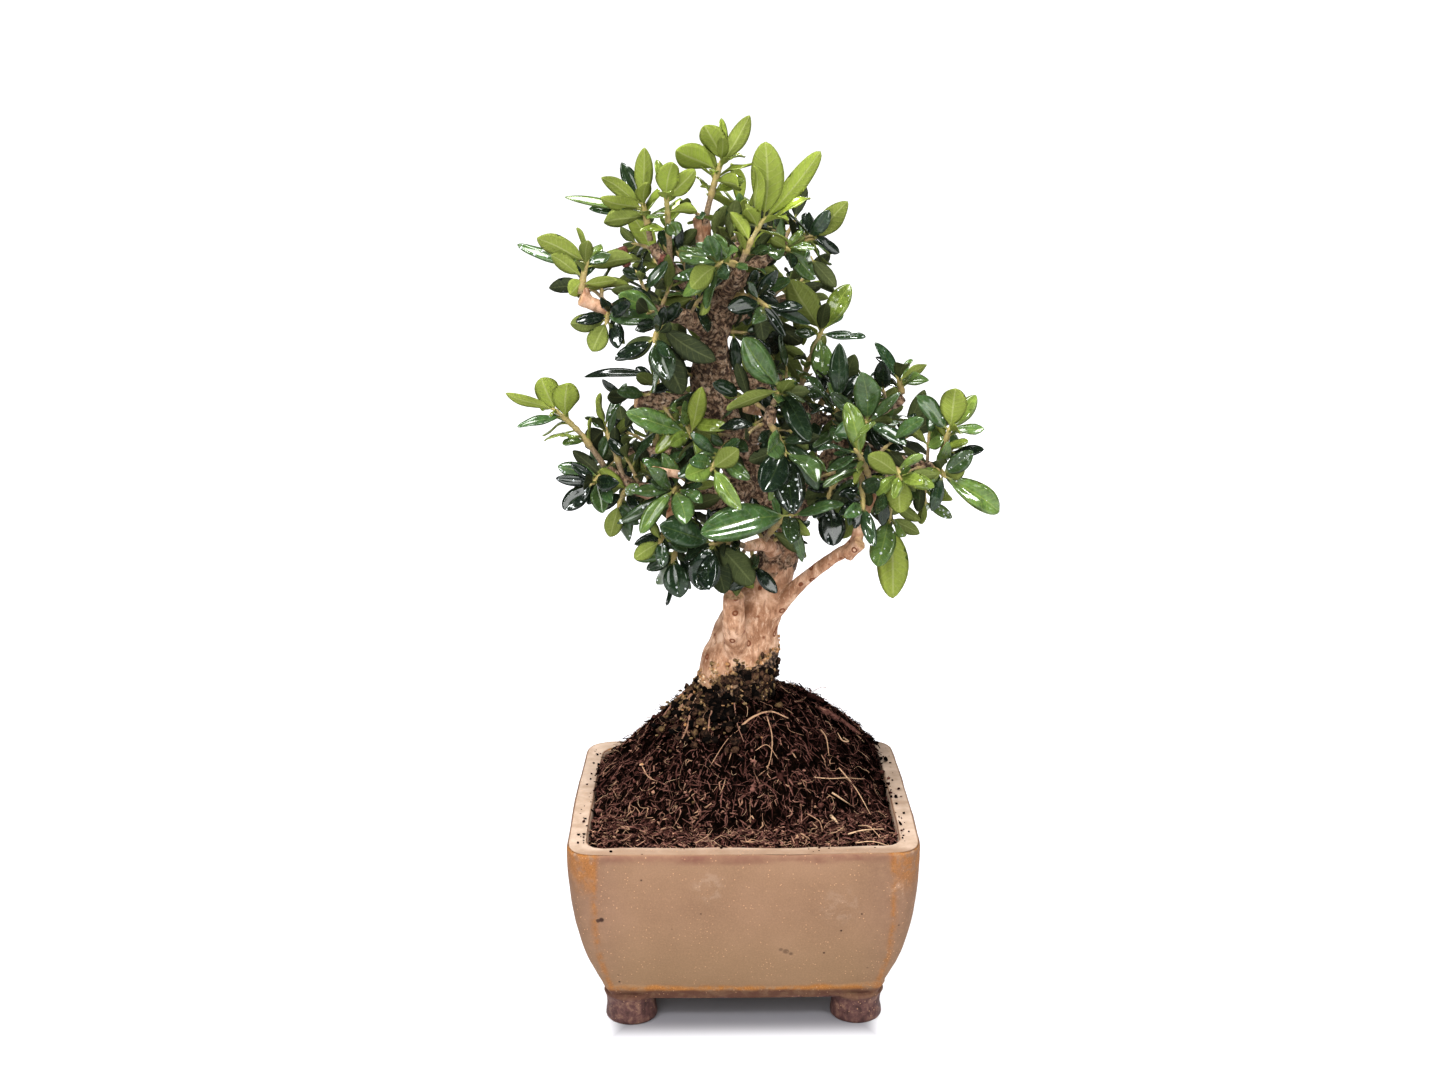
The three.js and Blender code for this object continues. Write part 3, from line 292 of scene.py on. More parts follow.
def curve_points(knots, per_span):
    """A centripetal Catmull-Rom curve through the knots."""
    knots = np.asarray(knots, float)
    before, after = 2 * knots[0] - knots[1], 2 * knots[-1] - knots[-2]
    chain = np.vstack([before, knots, after])
    steps = np.sqrt(np.linalg.norm(np.diff(chain[:, :3], axis=0), axis=1))
    result = []
    for k in range(len(knots) - 1):
        p0, p1, p2, p3 = chain[k:k + 4]
        d0, d1, d2 = steps[k:k + 3]
        near = ((p1 - p0) / d0 - (p2 - p0) / (d0 + d1) + (p2 - p1) / d1) * d1
        far = ((p2 - p1) / d1 - (p3 - p1) / (d1 + d2) + (p3 - p2) / d2) * d1
        for t in np.arange(per_span) / per_span:
            result.append(p1 + near * t + (3 * (p2 - p1) - 2 * near - far) * t * t
                          + (2 * (p1 - p2) + near + far) * t ** 3)
    return np.array(result + [knots[-1]])


def strands(paths, widths, sides, flatness=1.0, tilt=0.0):
    """Closed tubes along many paths at once, flattened and turned about their own line."""
    count, rings, _ = paths.shape
    along = unit(np.gradient(paths, axis=1))
    upright = np.abs(unit(paths[:, -1] - paths[:, 0])[:, 2]) > 0.8
    reference = np.where(upright[:, None], [1.0, 0.0, 0.0], [0.0, 0.0, 1.0])
    side = unit(np.cross(reference[:, None, :], along))
    across = np.cross(along, side)
    angle = around(sides)
    turn = np.broadcast_to(tilt, (count,))[:, None, None, None]
    wide, deep = np.cos(angle)[:, None], np.sin(angle)[:, None] * flatness
    side, across = side[:, :, None, :], across[:, :, None, :]
    first = np.cos(turn) * side + np.sin(turn) * across
    second = np.cos(turn) * across - np.sin(turn) * side
    points = paths[:, :, None, :] + widths[:, :, None, None] * (wide * first + deep * second)
    index = np.arange(count * rings * sides).reshape(count, rings, sides)
    near, far = index[:, :-1], index[:, 1:]
    quads = np.stack([near, np.roll(near, -1, 2), np.roll(far, -1, 2), far], -1).reshape(-1, 4)
    return points.reshape(-1, 3), [quads, index[:, 0, ::-1], index[:, -1]]


def grid_faces(rows, columns, closed_rows=False):
    """Quads between rings of points, each ring closed on itself."""
    index = np.arange(rows * columns).reshape(rows, columns)
    near, far = (index, np.roll(index, -1, 0)) if closed_rows else (index[:-1], index[1:])
    return np.stack([near, np.roll(near, -1, 1), np.roll(far, -1, 1), far], -1).reshape(-1, 4)


def tube_faces(rows, columns):
    """Quads between rings of points, and a cap on the first and the last ring."""
    ring = np.arange(columns)[None]
    return [grid_faces(rows, columns), ring[:, ::-1], ring + (rows - 1) * columns]


def around(sides):
    return 2 * np.pi * np.arange(sides) / sides


def level_circle(x, y, radius, z, sides):
    angle = around(sides)
    return np.column_stack([x + radius * np.cos(angle), y + radius * np.sin(angle), np.full(sides, z)])


def grey(tones, points_each):
    """The same tone in all four parts of the tint, for each point of each small form."""
    return np.repeat(np.column_stack([tones] * 4), points_each, 0)


class Shell:
    """Gathers the points, faces, finishes and tints of one piece."""

    def __init__(self):
        self.points, self.faces, self.finishes, self.tints, self.count = [], [], [], [], 0

    def add(self, points, faces, finish=0, tint=(0, 0, 0, 0)):
        self.points.append(points)
        self.tints.append(np.broadcast_to(np.asarray(tint, float), (len(points), 4)))
        self.count += len(points)
        self.add_faces(faces, finish, len(points))

    def add_faces(self, faces, finish, own_points):
        """More faces for the points that were added last."""
        for block in faces:
            block = np.asarray(block) + self.count - own_points
            self.faces.extend(block.tolist())
            self.finishes.extend([finish] * len(block))

    def mesh(self, name):
        points = np.clip(np.vstack(self.points) * MM + POT_MIDDLE, cad_low, cad_high)
        mesh = bpy.data.meshes.new(name)
        mesh.from_pydata(points.tolist(), [], self.faces)
        mesh.polygons.foreach_set("material_index", self.finishes)
        mesh.polygons.foreach_set("use_smooth", [True] * len(self.faces))
        paint(mesh, np.vstack(self.tints))
        return mesh


def paint(mesh, tints):
    """Stores the tints that the materials read, one for each point."""
    layer = mesh.color_attributes.get("tint")
    if layer is None:
        layer = mesh.color_attributes.new(name="tint", type="FLOAT_COLOR", domain="POINT")
    layer.data.foreach_set("color", np.ascontiguousarray(tints, dtype=np.float32).ravel())


def linked(name, data):
    thing = bpy.data.objects.new(name, data)
    bpy.context.scene.collection.objects.link(thing)
    return thing


def piece(name, mesh, finishes, nodes=()):
    """One piece of the object, which stands for the given nodes if there are any."""
    for finish in finishes:
        mesh.materials.append(finish)
    thing = linked(name, mesh)
    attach(thing, "root")
    if nodes:
        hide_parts(*nodes)


def applied(thing, kind, **settings):
    """The mesh of an object after one modifier, without materials."""
    modifier = thing.modifiers.new(kind.lower(), kind)
    for key, value in settings.items():
        setattr(modifier, key, value)
    evaluated = thing.evaluated_get(bpy.context.evaluated_depsgraph_get())
    mesh = bpy.data.meshes.new_from_object(evaluated)
    mesh.materials.clear()
    thing.modifiers.clear()
    return mesh


def coordinates(mesh):
    flat = np.empty(len(mesh.vertices) * 3, np.float32)
    mesh.vertices.foreach_get("co", flat)
    return (flat.reshape(-1, 3).astype(float) - POT_MIDDLE) / MM


def normals(mesh):
    flat = np.empty(len(mesh.vertices) * 3, np.float32)
    mesh.vertex_normals.foreach_get("vector", flat)
    return flat.reshape(-1, 3).astype(float)


def set_coordinates(mesh, points):
    flat = (points * MM + POT_MIDDLE).astype(np.float32)
    mesh.vertices.foreach_set("co", flat.ravel())
    mesh.update()


# Materials. Sizes of patterns are in millimetres, colours are linear.
class Finish:
    """A node material in the making, with one Principled shader."""

    def __init__(self, name, **shader):
        self.material = bpy.data.materials.new(name)
        self.material.use_nodes = True
        self.tree = self.material.node_tree
        self.shader = self.tree.nodes["Principled BSDF"]
        self.place = self.add("ShaderNodeTexCoord").outputs["Object"]
        tint = self.add("ShaderNodeAttribute", attribute_name="tint")
        parts = self.add("ShaderNodeSeparateColor", ins={0: tint.outputs["Color"]}).outputs
        self.tint = [parts[0], parts[1], parts[2], tint.outputs["Alpha"]]
        for key, value in shader.items():
            self.shader.inputs[key.replace("_", " ")].default_value = value

    def add(self, kind, ins=None, **settings):
        node = self.tree.nodes.new(kind)
        for key, value in settings.items():
            setattr(node, key, value)
        for key, value in (ins or {}).items():
            self.plug(node.inputs[key], value)
        return node

    def plug(self, socket, value):
        if isinstance(value, bpy.types.NodeSocket):
            self.tree.links.new(value, socket)
        elif isinstance(value, tuple) and len(value) == 3 and socket.type == "RGBA":
            socket.default_value = (*value, 1)
        else:
            socket.default_value = value

    def noise(self, size, detail=3.0, roughness=0.6, warp=0.0, place=None):
        node = self.add("ShaderNodeTexNoise", {
            "Vector": place or self.place, "Scale": 1 / (size * MM), "Detail": detail,
            "Roughness": roughness, "Distortion": warp})
        return node.outputs["Fac"]

    def cells(self, size, output="Distance", randomness=1.0):
        node = self.add("ShaderNodeTexVoronoi", {
            "Vector": self.place, "Scale": 1 / (size * MM), "Randomness": randomness})
        return node.outputs[output]

    def math(self, operation, a, b=0.0, clamp=False):
        return self.add("ShaderNodeMath", {0: a, 1: b}, operation=operation, use_clamp=clamp).outputs[0]

    def times(self, a, b, clamp=False):
        return self.math("MULTIPLY", a, b, clamp)

    def plus(self, a, b, clamp=False):
        return self.math("ADD", a, b, clamp)

    def step(self, value, low, high, out_low=0.0, out_high=1.0):
        """A smooth change from one value to another between two limits."""
        return self.add("ShaderNodeMapRange", {
            0: value, 1: low, 2: high, 3: out_low, 4: out_high}, interpolation_type="SMOOTHSTEP").outputs[0]

    def mix(self, factor, a, b):
        node = self.add("ShaderNodeMix", data_type="RGBA", blend_type="MIX")
        for key, value in ((0, factor), (6, a), (7, b)):
            self.plug(node.inputs[key], value)
        return node.outputs[2]

    def ramp(self, value, stops):
        node = self.add("ShaderNodeValToRGB", {0: value})
        ramp = node.color_ramp
        while len(ramp.elements) < len(stops):
            ramp.elements.new(0.5)
        for element, (at, colour) in zip(ramp.elements, stops):
            element.position = at
            element.color = (*colour, 1)
        return node.outputs[0]

    def near(self, spot, radius):
        """One close to a place in millimetres, nought past the radius."""
        middle = tuple(np.array(spot) * MM + POT_MIDDLE)
        away = self.add("ShaderNodeVectorMath", {0: self.place, 1: middle}, operation="DISTANCE")
        return self.step(away.outputs["Value"], radius * 0.5 * MM, radius * MM, 1.0, 0.0)

    def bump(self, heights):
        """Chained bumps from (height, strength, depth in millimetres)."""
        normal = None
        for height, strength, depth in heights:
            ins = {"Height": height, "Strength": strength, "Distance": depth * MM}
            if normal:
                ins["Normal"] = normal
            normal = self.add("ShaderNodeBump", ins).outputs[0]
        self.plug(self.shader.inputs["Normal"], normal)

    def done(self, colour=None, roughness=None):
        if colour is not None:
            self.plug(self.shader.inputs["Base Color"], colour)
        if roughness is not None:
            self.plug(self.shader.inputs["Roughness"], roughness)
        return self.material


# Marks on the pot's front: place, radius and strength, first the dark ones and then the pale scuffs.
POT_MARKS = [
    ((-59.2, -72.0, 53.8), 1.5, 1.0), ((-60.6, -71.6, 53.4), 1.2, 0.9), ((17.5, -68.5, 37.6), 1.7, 0.5),
    ((19.6, -68.5, 36.2), 1.4, 0.6), ((15.4, -68.9, 38.6), 1.2, 0.45), ((31.0, -68.5, 35.0), 0.8, 0.6),
]
POT_SCUFFS = [
    ((-14, -74, 69), 9, 0.12), ((64, -70, 67), 6, 0.25), ((40, -72, 60), 11, 0.10), ((-52, -66, 74), 6, 0.2),
]


def stoneware():
    """Tint: iron along edges, rim top and inner wall paler (painted top light on the rim's upper faces), foot
    darkened by wear and by painted shade on the corner facets, bands at top and bottom.
    """
    f = Finish("stoneware", Specular_IOR_Level=0.2)
    iron, rim, foot, band = f.tint
    cloud = f.noise(26, 4, 0.55)
    fine = f.noise(0.7, 4, 0.7)
    patch = f.noise(5, 4, 0.65, 0.4)
    body = f.ramp(cloud, [
        (0.3, (0.238, 0.143, 0.087)), (0.5, (0.268, 0.163, 0.100)), (0.7, (0.300, 0.185, 0.117))])
    height = f.add("ShaderNodeSeparateXYZ", {0: f.place}).outputs[2]
    body = f.mix(f.step(height, 0.022, 0.062, 0.55, 0.0), body, (0.272, 0.180, 0.096))
    body = f.mix(f.step(fine, 0.35, 0.7, 0.0, 0.32), body, (0.40, 0.255, 0.155))
    rusty = f.times(iron, f.step(patch, 0.30, 0.56), clamp=True)
    body = f.mix(rusty, body, f.ramp(fine, [(0.3, (0.255, 0.110, 0.030)), (0.7, (0.47, 0.215, 0.066))]))
    banded = f.mix(f.step(height, 0.02, 0.06), (0.125, 0.060, 0.040), (0.205, 0.098, 0.068))
    body = f.mix(f.times(band, f.step(patch, 0.3, 0.6, 0.6, 1.0), clamp=True), body, banded)
    # Paler clay for the rim and the inner wall; on the rim's upper faces it is painted top light.
    pale = f.ramp(f.noise(9, 4, 0.6), [(0.3, (0.41, 0.295, 0.215)), (0.7, (0.62, 0.485, 0.385))])
    body = f.mix(rim, body, pale)
    # Dark colour of the feet's wear, also laid on the corner facets as painted shade.
    wear_and_painted_shade = f.ramp(f.noise(3.4, 5, 0.65, 0.3), [
        (0.32, (0.060, 0.030, 0.027)), (0.5, (0.125, 0.062, 0.055)), (0.68, (0.26, 0.15, 0.105))])
    body = f.mix(foot, body, wear_and_painted_shade)
    grit = f.times(f.step(f.cells(1.7), 0.11, 0.20, 1.0, 0.0), f.step(f.noise(7), 0.42, 0.60), clamp=True)
    body = f.mix(f.times(grit, 0.6), body, (0.66, 0.39, 0.22))
    flecks = f.times(f.step(f.cells(6.5), 0.055, 0.09, 1.0, 0.0), f.step(f.noise(16), 0.5, 0.6), clamp=True)
    body = f.mix(flecks, body, (0.07, 0.035, 0.024))
    for spot, radius, strength in POT_MARKS:
        body = f.mix(f.times(f.near(spot, radius), strength), body, (0.055, 0.028, 0.02))
    for spot, radius, strength in POT_SCUFFS:
        scuff = f.times(f.near(spot, radius), f.step(patch, 0.45, 0.6))
        body = f.mix(f.times(scuff, strength), body, (0.62, 0.50, 0.40))
    f.bump([(fine, 0.35, 0.12), (patch, 0.35, 0.35), (grit, 0.5, 0.1)])
    rough = f.math("SUBTRACT", f.step(fine, 0.3, 0.7, 0.66, 0.84), f.times(foot, 0.22))
    return f.done(body, rough)


def peat():
    f = Finish("peat", Specular_IOR_Level=0.0)
    # Near-black soil under the shreds: the peat's own dark colour, darkened further as painted shade in the
    # gaps between the shreds.
    dark = f.ramp(f.noise(1.6, 5, 0.7), [
        (0.35, (0.001, 0.0007, 0.0006)), (0.55, (0.005, 0.0027, 0.002)), (0.75, (0.04, 0.016, 0.010))])
    f.bump([(f.noise(0.9, 4, 0.7), 0.8, 0.6)])
    return f.done(dark, 0.95)


def shreds():
    """Tint: tone from black through red-brown to tan, and a loose draw."""
    f = Finish("peat_shreds", Specular_IOR_Level=0.0)
    tone = f.plus(f.tint[0], f.step(f.noise(0.8, 3), 0.3, 0.7, -0.06, 0.06), clamp=True)
    colour = f.ramp(tone, [
        (0.0, (0.0005, 0.0003, 0.0003)), (0.22, (0.005, 0.0022, 0.002)), (0.45, (0.080, 0.032, 0.026)),
        (0.66, (0.300, 0.148, 0.118)), (0.84, (0.54, 0.34, 0.215)), (1.0, (0.72, 0.52, 0.34))])
    f.bump([(f.noise(0.5, 3), 0.5, 0.15)])
    return f.done(colour, 0.82)


def bark():
    """Tint: crust at the foot, old rough bark, cut wood, dead red-brown wood."""
    f = Finish("bark", Specular_IOR_Level=0.2)
    crust, old, cut, dead = f.tint
    long_grain = f.add("ShaderNodeMapping", {0: f.place, 3: (1.0, 1.0, 0.35)}).outputs[0]
    soft = f.noise(7, 4, 0.6, 0.3)
    fine = f.noise(1.1, 4, 0.7)
    grain = f.noise(1.8, 4, 0.65, 0.2, long_grain)
    smooth = f.ramp(soft, [
        (0.34, (0.31, 0.155, 0.085)), (0.5, (0.50, 0.290, 0.180)), (0.66, (0.74, 0.510, 0.365))])
    smooth = f.mix(f.step(grain, 0.53, 0.64, 0.0, 0.62), smooth, (0.25, 0.130, 0.075))
    smooth = f.mix(f.step(grain, 0.46, 0.36, 0.0, 0.5), smooth, (0.80, 0.60, 0.45))
    ring = f.cells(5.6, "Distance", 0.85)
    open_ring = f.times(f.step(ring, 0.10, 0.17), f.step(ring, 0.22, 0.30, 1.0, 0.0))
    sparse = f.step(f.cells(5.6, "Color", 0.85), 0.34, 0.38)
    lenticel = f.times(open_ring, sparse, clamp=True)
    smooth = f.mix(f.times(lenticel, 0.95), smooth, (0.190, 0.060, 0.026))
    mottled = f.ramp(f.noise(3.2, 5, 0.7, 0.5), [
        (0.30, (0.050, 0.028, 0.017)), (0.44, (0.170, 0.108, 0.066)), (0.56, (0.33, 0.235, 0.158)),
        (0.72, (0.58, 0.48, 0.38))])
    mottled = f.mix(f.step(fine, 0.55, 0.7, 0.0, 0.5), mottled, (0.30, 0.16, 0.095))
    scales = f.noise(1.8, 3, 0.6, 0.4)
    mottled = f.mix(f.step(scales, 0.52, 0.42, 0.0, 0.88), mottled, (0.034, 0.018, 0.013))
    mottled = f.mix(f.step(scales, 0.55, 0.65, 0.0, 0.72), mottled, (0.52, 0.34, 0.235))
    patchy = f.plus(old, f.times(f.math("SUBTRACT", soft, 0.5), 0.9))
    colour = f.mix(f.step(patchy, 0.35, 0.65), smooth, mottled)
    soil = f.ramp(f.noise(2.2, 5, 0.7, 0.4), [
        (0.38, (0.002, 0.0013, 0.001)), (0.47, (0.034, 0.020, 0.014)), (0.55, (0.19, 0.115, 0.072)),
        (0.68, (0.54, 0.38, 0.25))])
    edge = f.plus(crust, f.times(f.math("SUBTRACT", f.noise(4.5, 4, 0.65), 0.5), 1.1))
    moss = f.times(f.step(edge, 0.12, 0.5), f.step(edge, 0.5, 0.9, 1.0, 0.0), clamp=True)
    colour = f.mix(f.times(moss, f.step(fine, 0.4, 0.6, 0.1, 0.55)), colour, (0.27, 0.20, 0.075))
    colour = f.mix(f.step(edge, 0.42, 0.6), colour, soil)
    wood = f.ramp(f.noise(1.3, 4, 0.6, 0.6), [
        (0.3, (0.36, 0.20, 0.10)), (0.6, (0.62, 0.42, 0.25)), (0.8, (0.72, 0.55, 0.38))])
    colour = f.mix(cut, colour, wood)
    red = f.ramp(fine, [
        (0.3, (0.085, 0.028, 0.022)), (0.6, (0.235, 0.095, 0.072)), (0.8, (0.40, 0.22, 0.16))])
    colour = f.mix(dead, colour, red)
    f.bump([(grain, 0.6, 0.6), (fine, 0.6, 0.35), (lenticel, 0.6, 0.3), (f.times(scales, old), 0.9, 0.6)])
    return f.done(colour, f.step(fine, 0.3, 0.7, 0.62, 0.86))


def cork():
    """Tint: tone from black peat through mossy brown and tan to orange."""
    f = Finish("corky_nodules", Specular_IOR_Level=0.08)
    tone = f.plus(f.tint[0], f.step(f.noise(1.1, 4), 0.3, 0.7, -0.10, 0.10), clamp=True)
    colour = f.ramp(tone, [
        (0.0, (0.001, 0.0007, 0.0005)), (0.25, (0.012, 0.007, 0.005)), (0.42, (0.095, 0.050, 0.032)),
        (0.58, (0.200, 0.138, 0.062)), (0.74, (0.44, 0.29, 0.16)), (0.88, (0.50, 0.25, 0.10)),
        (1.0, (0.78, 0.60, 0.42))])
    f.bump([(f.noise(0.6, 4), 0.6, 0.25)])
    return f.done(colour, 0.85)


def twig_bark():
    """Tint: age of the shoot, swollen node, distance along the twig, loose draw."""
    f = Finish("twig_bark", Specular_IOR_Level=0.3)
    age, node, along, _ = f.tint
    fine = f.noise(0.8, 4, 0.65)
    old = f.ramp(fine, [(0.3, (0.13, 0.085, 0.050)), (0.7, (0.40, 0.300, 0.19))])
    young = f.ramp(fine, [(0.3, (0.26, 0.235, 0.085)), (0.7, (0.52, 0.465, 0.23))])
    fresh = f.times(f.step(along, 0.25, 0.95), f.step(age, 0.1, 1.0, 1.0, 0.35))
    colour = f.mix(fresh, old, young)
    colour = f.mix(f.times(node, 0.6), colour, (0.42, 0.33, 0.11))
    f.bump([(fine, 0.4, 0.15)])
    return f.done(colour, f.step(fine, 0.3, 0.7, 0.45, 0.7))


def veins(f, across, along):
    """Side veins that leave the midrib at a slant, broken up by noise."""
    slant = f.math("SUBTRACT", f.times(along, 62.0), f.times(across, 9.0))
    wobble = f.times(f.noise(2.6, 3, 0.6), 3.4)
    wave = f.math("SINE", f.plus(slant, wobble))
    return f.step(wave, 0.72, 1.0)


def leaf_top():
    """Tint: age, loose draw, distance from the midrib, distance along the leaf."""
    f = Finish("leaf_upper_face", Specular_IOR_Level=0.03, Coat_Weight=1.0, Coat_Roughness=0.11, Coat_IOR=1.5)
    age, draw, across, along = f.tint
    colour = f.ramp(age, [
        (0.0, (0.350, 0.430, 0.064)), (0.22, (0.270, 0.355, 0.062)), (0.45, (0.150, 0.242, 0.058)),
        (0.62, (0.074, 0.152, 0.048)), (0.80, (0.021, 0.050, 0.021)), (1.0, (0.005, 0.011, 0.008))])
    colour = f.mix(f.step(f.noise(4.5, 4, 0.6), 0.35, 0.7, 0.0, 0.55), colour, (0.008, 0.018, 0.006))
    # Pale grey-green patches on grown leaves: painted sheen standing in for reflections, and also a waxy
    # bloom.
    bloom_and_painted_sheen = f.step(f.noise(1.8, 5, 0.7, 0.5), 0.51, 0.68, 0.0, 0.28)
    grown = f.times(f.step(age, 0.25, 0.55), f.step(age, 0.75, 1.0, 1.0, 0.35))
    colour = f.mix(f.times(bloom_and_painted_sheen, grown), colour, (0.27, 0.36, 0.27))
    colour = f.mix(f.times(draw, f.step(age, 0.7, 1.0, 0.3, 0.04)), colour, (0.075, 0.095, 0.022))
    net = veins(f, across, along)
    pale = f.mix(age, (0.46, 0.52, 0.13), (0.080, 0.125, 0.036))
    fresh = f.step(age, 0.3, 1.0, 1.0, 0.25)
    colour = f.mix(f.times(net, f.times(fresh, 0.22)), colour, pale)
    rib = f.step(across, 0.012, 0.07, 0.55, 0.0)
    edge = f.step(across, 0.92, 0.99, 0.0, 0.5)
    colour = f.mix(f.times(f.math("MAXIMUM", rib, edge), fresh), colour, pale)
    stalk = f.step(along, 0.08, 0.17, 1.0, 0.0)
    colour = f.mix(stalk, colour, (0.25, 0.26, 0.075))
    crinkle = f.noise(1.7, 4, 0.62)
    wet = f.noise(6, 3, 0.6)
    f.bump([(net, 0.25, 0.18), (crinkle, 0.7, 0.42), (f.noise(0.6, 3), 0.2, 0.10)])
    return f.done(colour, f.step(wet, 0.36, 0.6, 0.16, 0.42))


def leaf_under():
    """Tint: the same as for the upper face."""
    f = Finish("leaf_under_face", Specular_IOR_Level=0.04)
    age, draw, across, along = f.tint
    colour = f.ramp(age, [
        (0.0, (0.265, 0.330, 0.058)), (0.3, (0.275, 0.332, 0.064)), (0.55, (0.215, 0.262, 0.062)),
        (0.8, (0.100, 0.126, 0.044)), (1.0, (0.030, 0.041, 0.021))])
    fresh = f.step(age, 0.3, 0.9, 1.0, 0.2)
    colour = f.mix(f.times(f.step(f.noise(3.5, 4, 0.6), 0.35, 0.7, 0.0, 0.35), fresh), colour,
                   (0.220, 0.245, 0.070))
    faint = f.times(draw, 0.35)
    dull = f.mix(age, (0.170, 0.195, 0.055), (0.062, 0.060, 0.034))
    colour = f.mix(faint, colour, dull)
    net = veins(f, across, along)
    colour = f.mix(f.step(f.noise(0.9, 4, 0.7), 0.4, 0.7, 0.0, 0.35), colour,
                   f.mix(age, (0.170, 0.205, 0.050), (0.020, 0.028, 0.012)))
    colour = f.mix(f.times(net, f.times(fresh, 0.28)), colour, (0.330, 0.360, 0.140))
    rib = f.step(across, 0.02, 0.11, 1.0, 0.0)
    colour = f.mix(f.times(rib, f.times(fresh, 0.6)), colour, (0.360, 0.390, 0.170))
    colour = f.mix(f.step(along, 0.08, 0.17, 1.0, 0.0), colour, (0.25, 0.26, 0.080))
    f.bump([(net, 0.5, 0.25), (f.noise(1.2, 4, 0.65), 0.5, 0.35)])
    return f.done(colour, 0.55)


def water():
    f = Finish("water", Roughness=0.04, IOR=1.4, Transmission_Weight=0.4, Coat_Weight=1.0)
    # A whitish diffuse base makes the drops show as white specks: painted glints, on top of their gloss and
    # partial transmission.
    f.shader.inputs["Base Color"].default_value = (0.85, 0.9, 0.9, 1)
    f.bump([(f.noise(2.0, 2), 0.05, 0.02)])
    return f.done()


def mesh_plastic():
    f = Finish("drain_mesh_plastic", Specular_IOR_Level=0.4)
    colour = f.ramp(f.noise(2.5, 3), [(0.3, (0.012, 0.014, 0.013)), (0.7, (0.035, 0.040, 0.038))])
    f.bump([(f.noise(0.6, 3), 0.3, 0.1)])
    return f.done(colour, f.step(f.noise(1.2, 3), 0.3, 0.7, 0.42, 0.6))


def floor_with_painted_glow():
    f = Finish("floor", Specular_IOR_Level=0.1, Roughness=0.7, Emission_Color=(1, 1, 1, 1))
    # The floor glows though it is no lamp: painted light that washes out the shadows round the pot, faint
    # under the pot, rising past its sides and stronger far away.
    centred = f.add("ShaderNodeVectorMath", {0: f.place, 1: tuple(POT_MIDDLE)}, operation="SUBTRACT")
    from_pot = centred.outputs[0]
    away = f.add("ShaderNodeVectorMath", {0: from_pot}, operation="LENGTH").outputs["Value"]
    near_pot = f.add("ShaderNodeSeparateXYZ", {0: from_pot}).outputs
    beside = f.step(f.math("ABSOLUTE", near_pot[0]), 0.046, 0.064)
    before = f.step(f.math("ABSOLUTE", near_pot[1]), 0.051, 0.085)
    painted_glow = f.step(f.math("MAXIMUM", beside, before), 0.0, 1.0, 0.02, 0.80)
    painted_glow = f.plus(painted_glow, f.step(away, 0.25, 1.6, 0.0, 0.25))
    f.plug(f.shader.inputs["Emission Strength"], painted_glow)
    colour = f.ramp(f.noise(400, 2), [(0.3, (0.300, 0.297, 0.325)), (0.7, (0.310, 0.307, 0.335))])
    return f.done(colour)


# Pot
RING_SIDE = 64
RING_CORNER = 14
ROUND_EDGES = 2
FOOT_SIDES = 72
# Height and radius of a foot, from the table up into the pot's underside.
FOOT_PROFILE = [
    (0, 10.1), (0.25, 10.6), (0.8, 11.0), (1.6, 11.2), (3.5, 11.05), (6, 10.7), (8.5, 10.75), (10.3, 11.0),
    (11.4, 11.5), (12.2, 11.9), (13.4, 11.2),
]


def pot_ring(half, cut, inset=0.0):
    """The pot's outline at one height: bowed sides and cut corners, with softened edges."""
    flat = half - cut
    along = np.linspace(-1, 1, RING_SIDE + 1)
    sides = np.stack([half - SIDE_BOW * along ** 2 - inset, along * flat * (1 - inset / half)], 1)
    middle = half - 0.3 * cut - SIDE_BOW / 2 - inset
    start, end = sides[-1], sides[-1][::-1]
    t = np.linspace(0, 1, RING_CORNER + 1)[1:-1, None]
    corner = start * (1 - t) * (1 - 2 * t) + 4 * middle * t * (1 - t) + end * t * (2 * t - 1)
    quarter = np.vstack([sides, corner])
    quarters = []
    for angle in np.arange(4) * math.pi / 2:
        cos, sin = math.cos(angle), math.sin(angle)
        quarters.append(quarter @ np.array([[cos, sin], [-sin, cos]]))
    ring = np.vstack(quarters)
    for _ in range(ROUND_EDGES):
        ring = 0.25 * np.roll(ring, 1, 0) + 0.5 * ring + 0.25 * np.roll(ring, -1, 0)
    return ring


def circle_like(ring, radius, centre=(0.0, 0.0)):
    """The ring's points moved out or in to a circle."""
    away = ring - centre
    return away / np.linalg.norm(away, axis=1, keepdims=True) * radius + centre


def lift(ring, z):
    return np.column_stack([ring, np.broadcast_to(z, len(ring))])


def between_rings(a, b, steps):
    return [a + (b - a) * t for t in np.linspace(0, 1, steps + 2)[1:-1]]


def ring_normals(rings):
    round_ring = np.roll(rings, -1, 1) - np.roll(rings, 1, 1)
    up = np.roll(rings, -1, 0) - np.roll(rings, 1, 0)
    return unit(np.cross(round_ring, up))


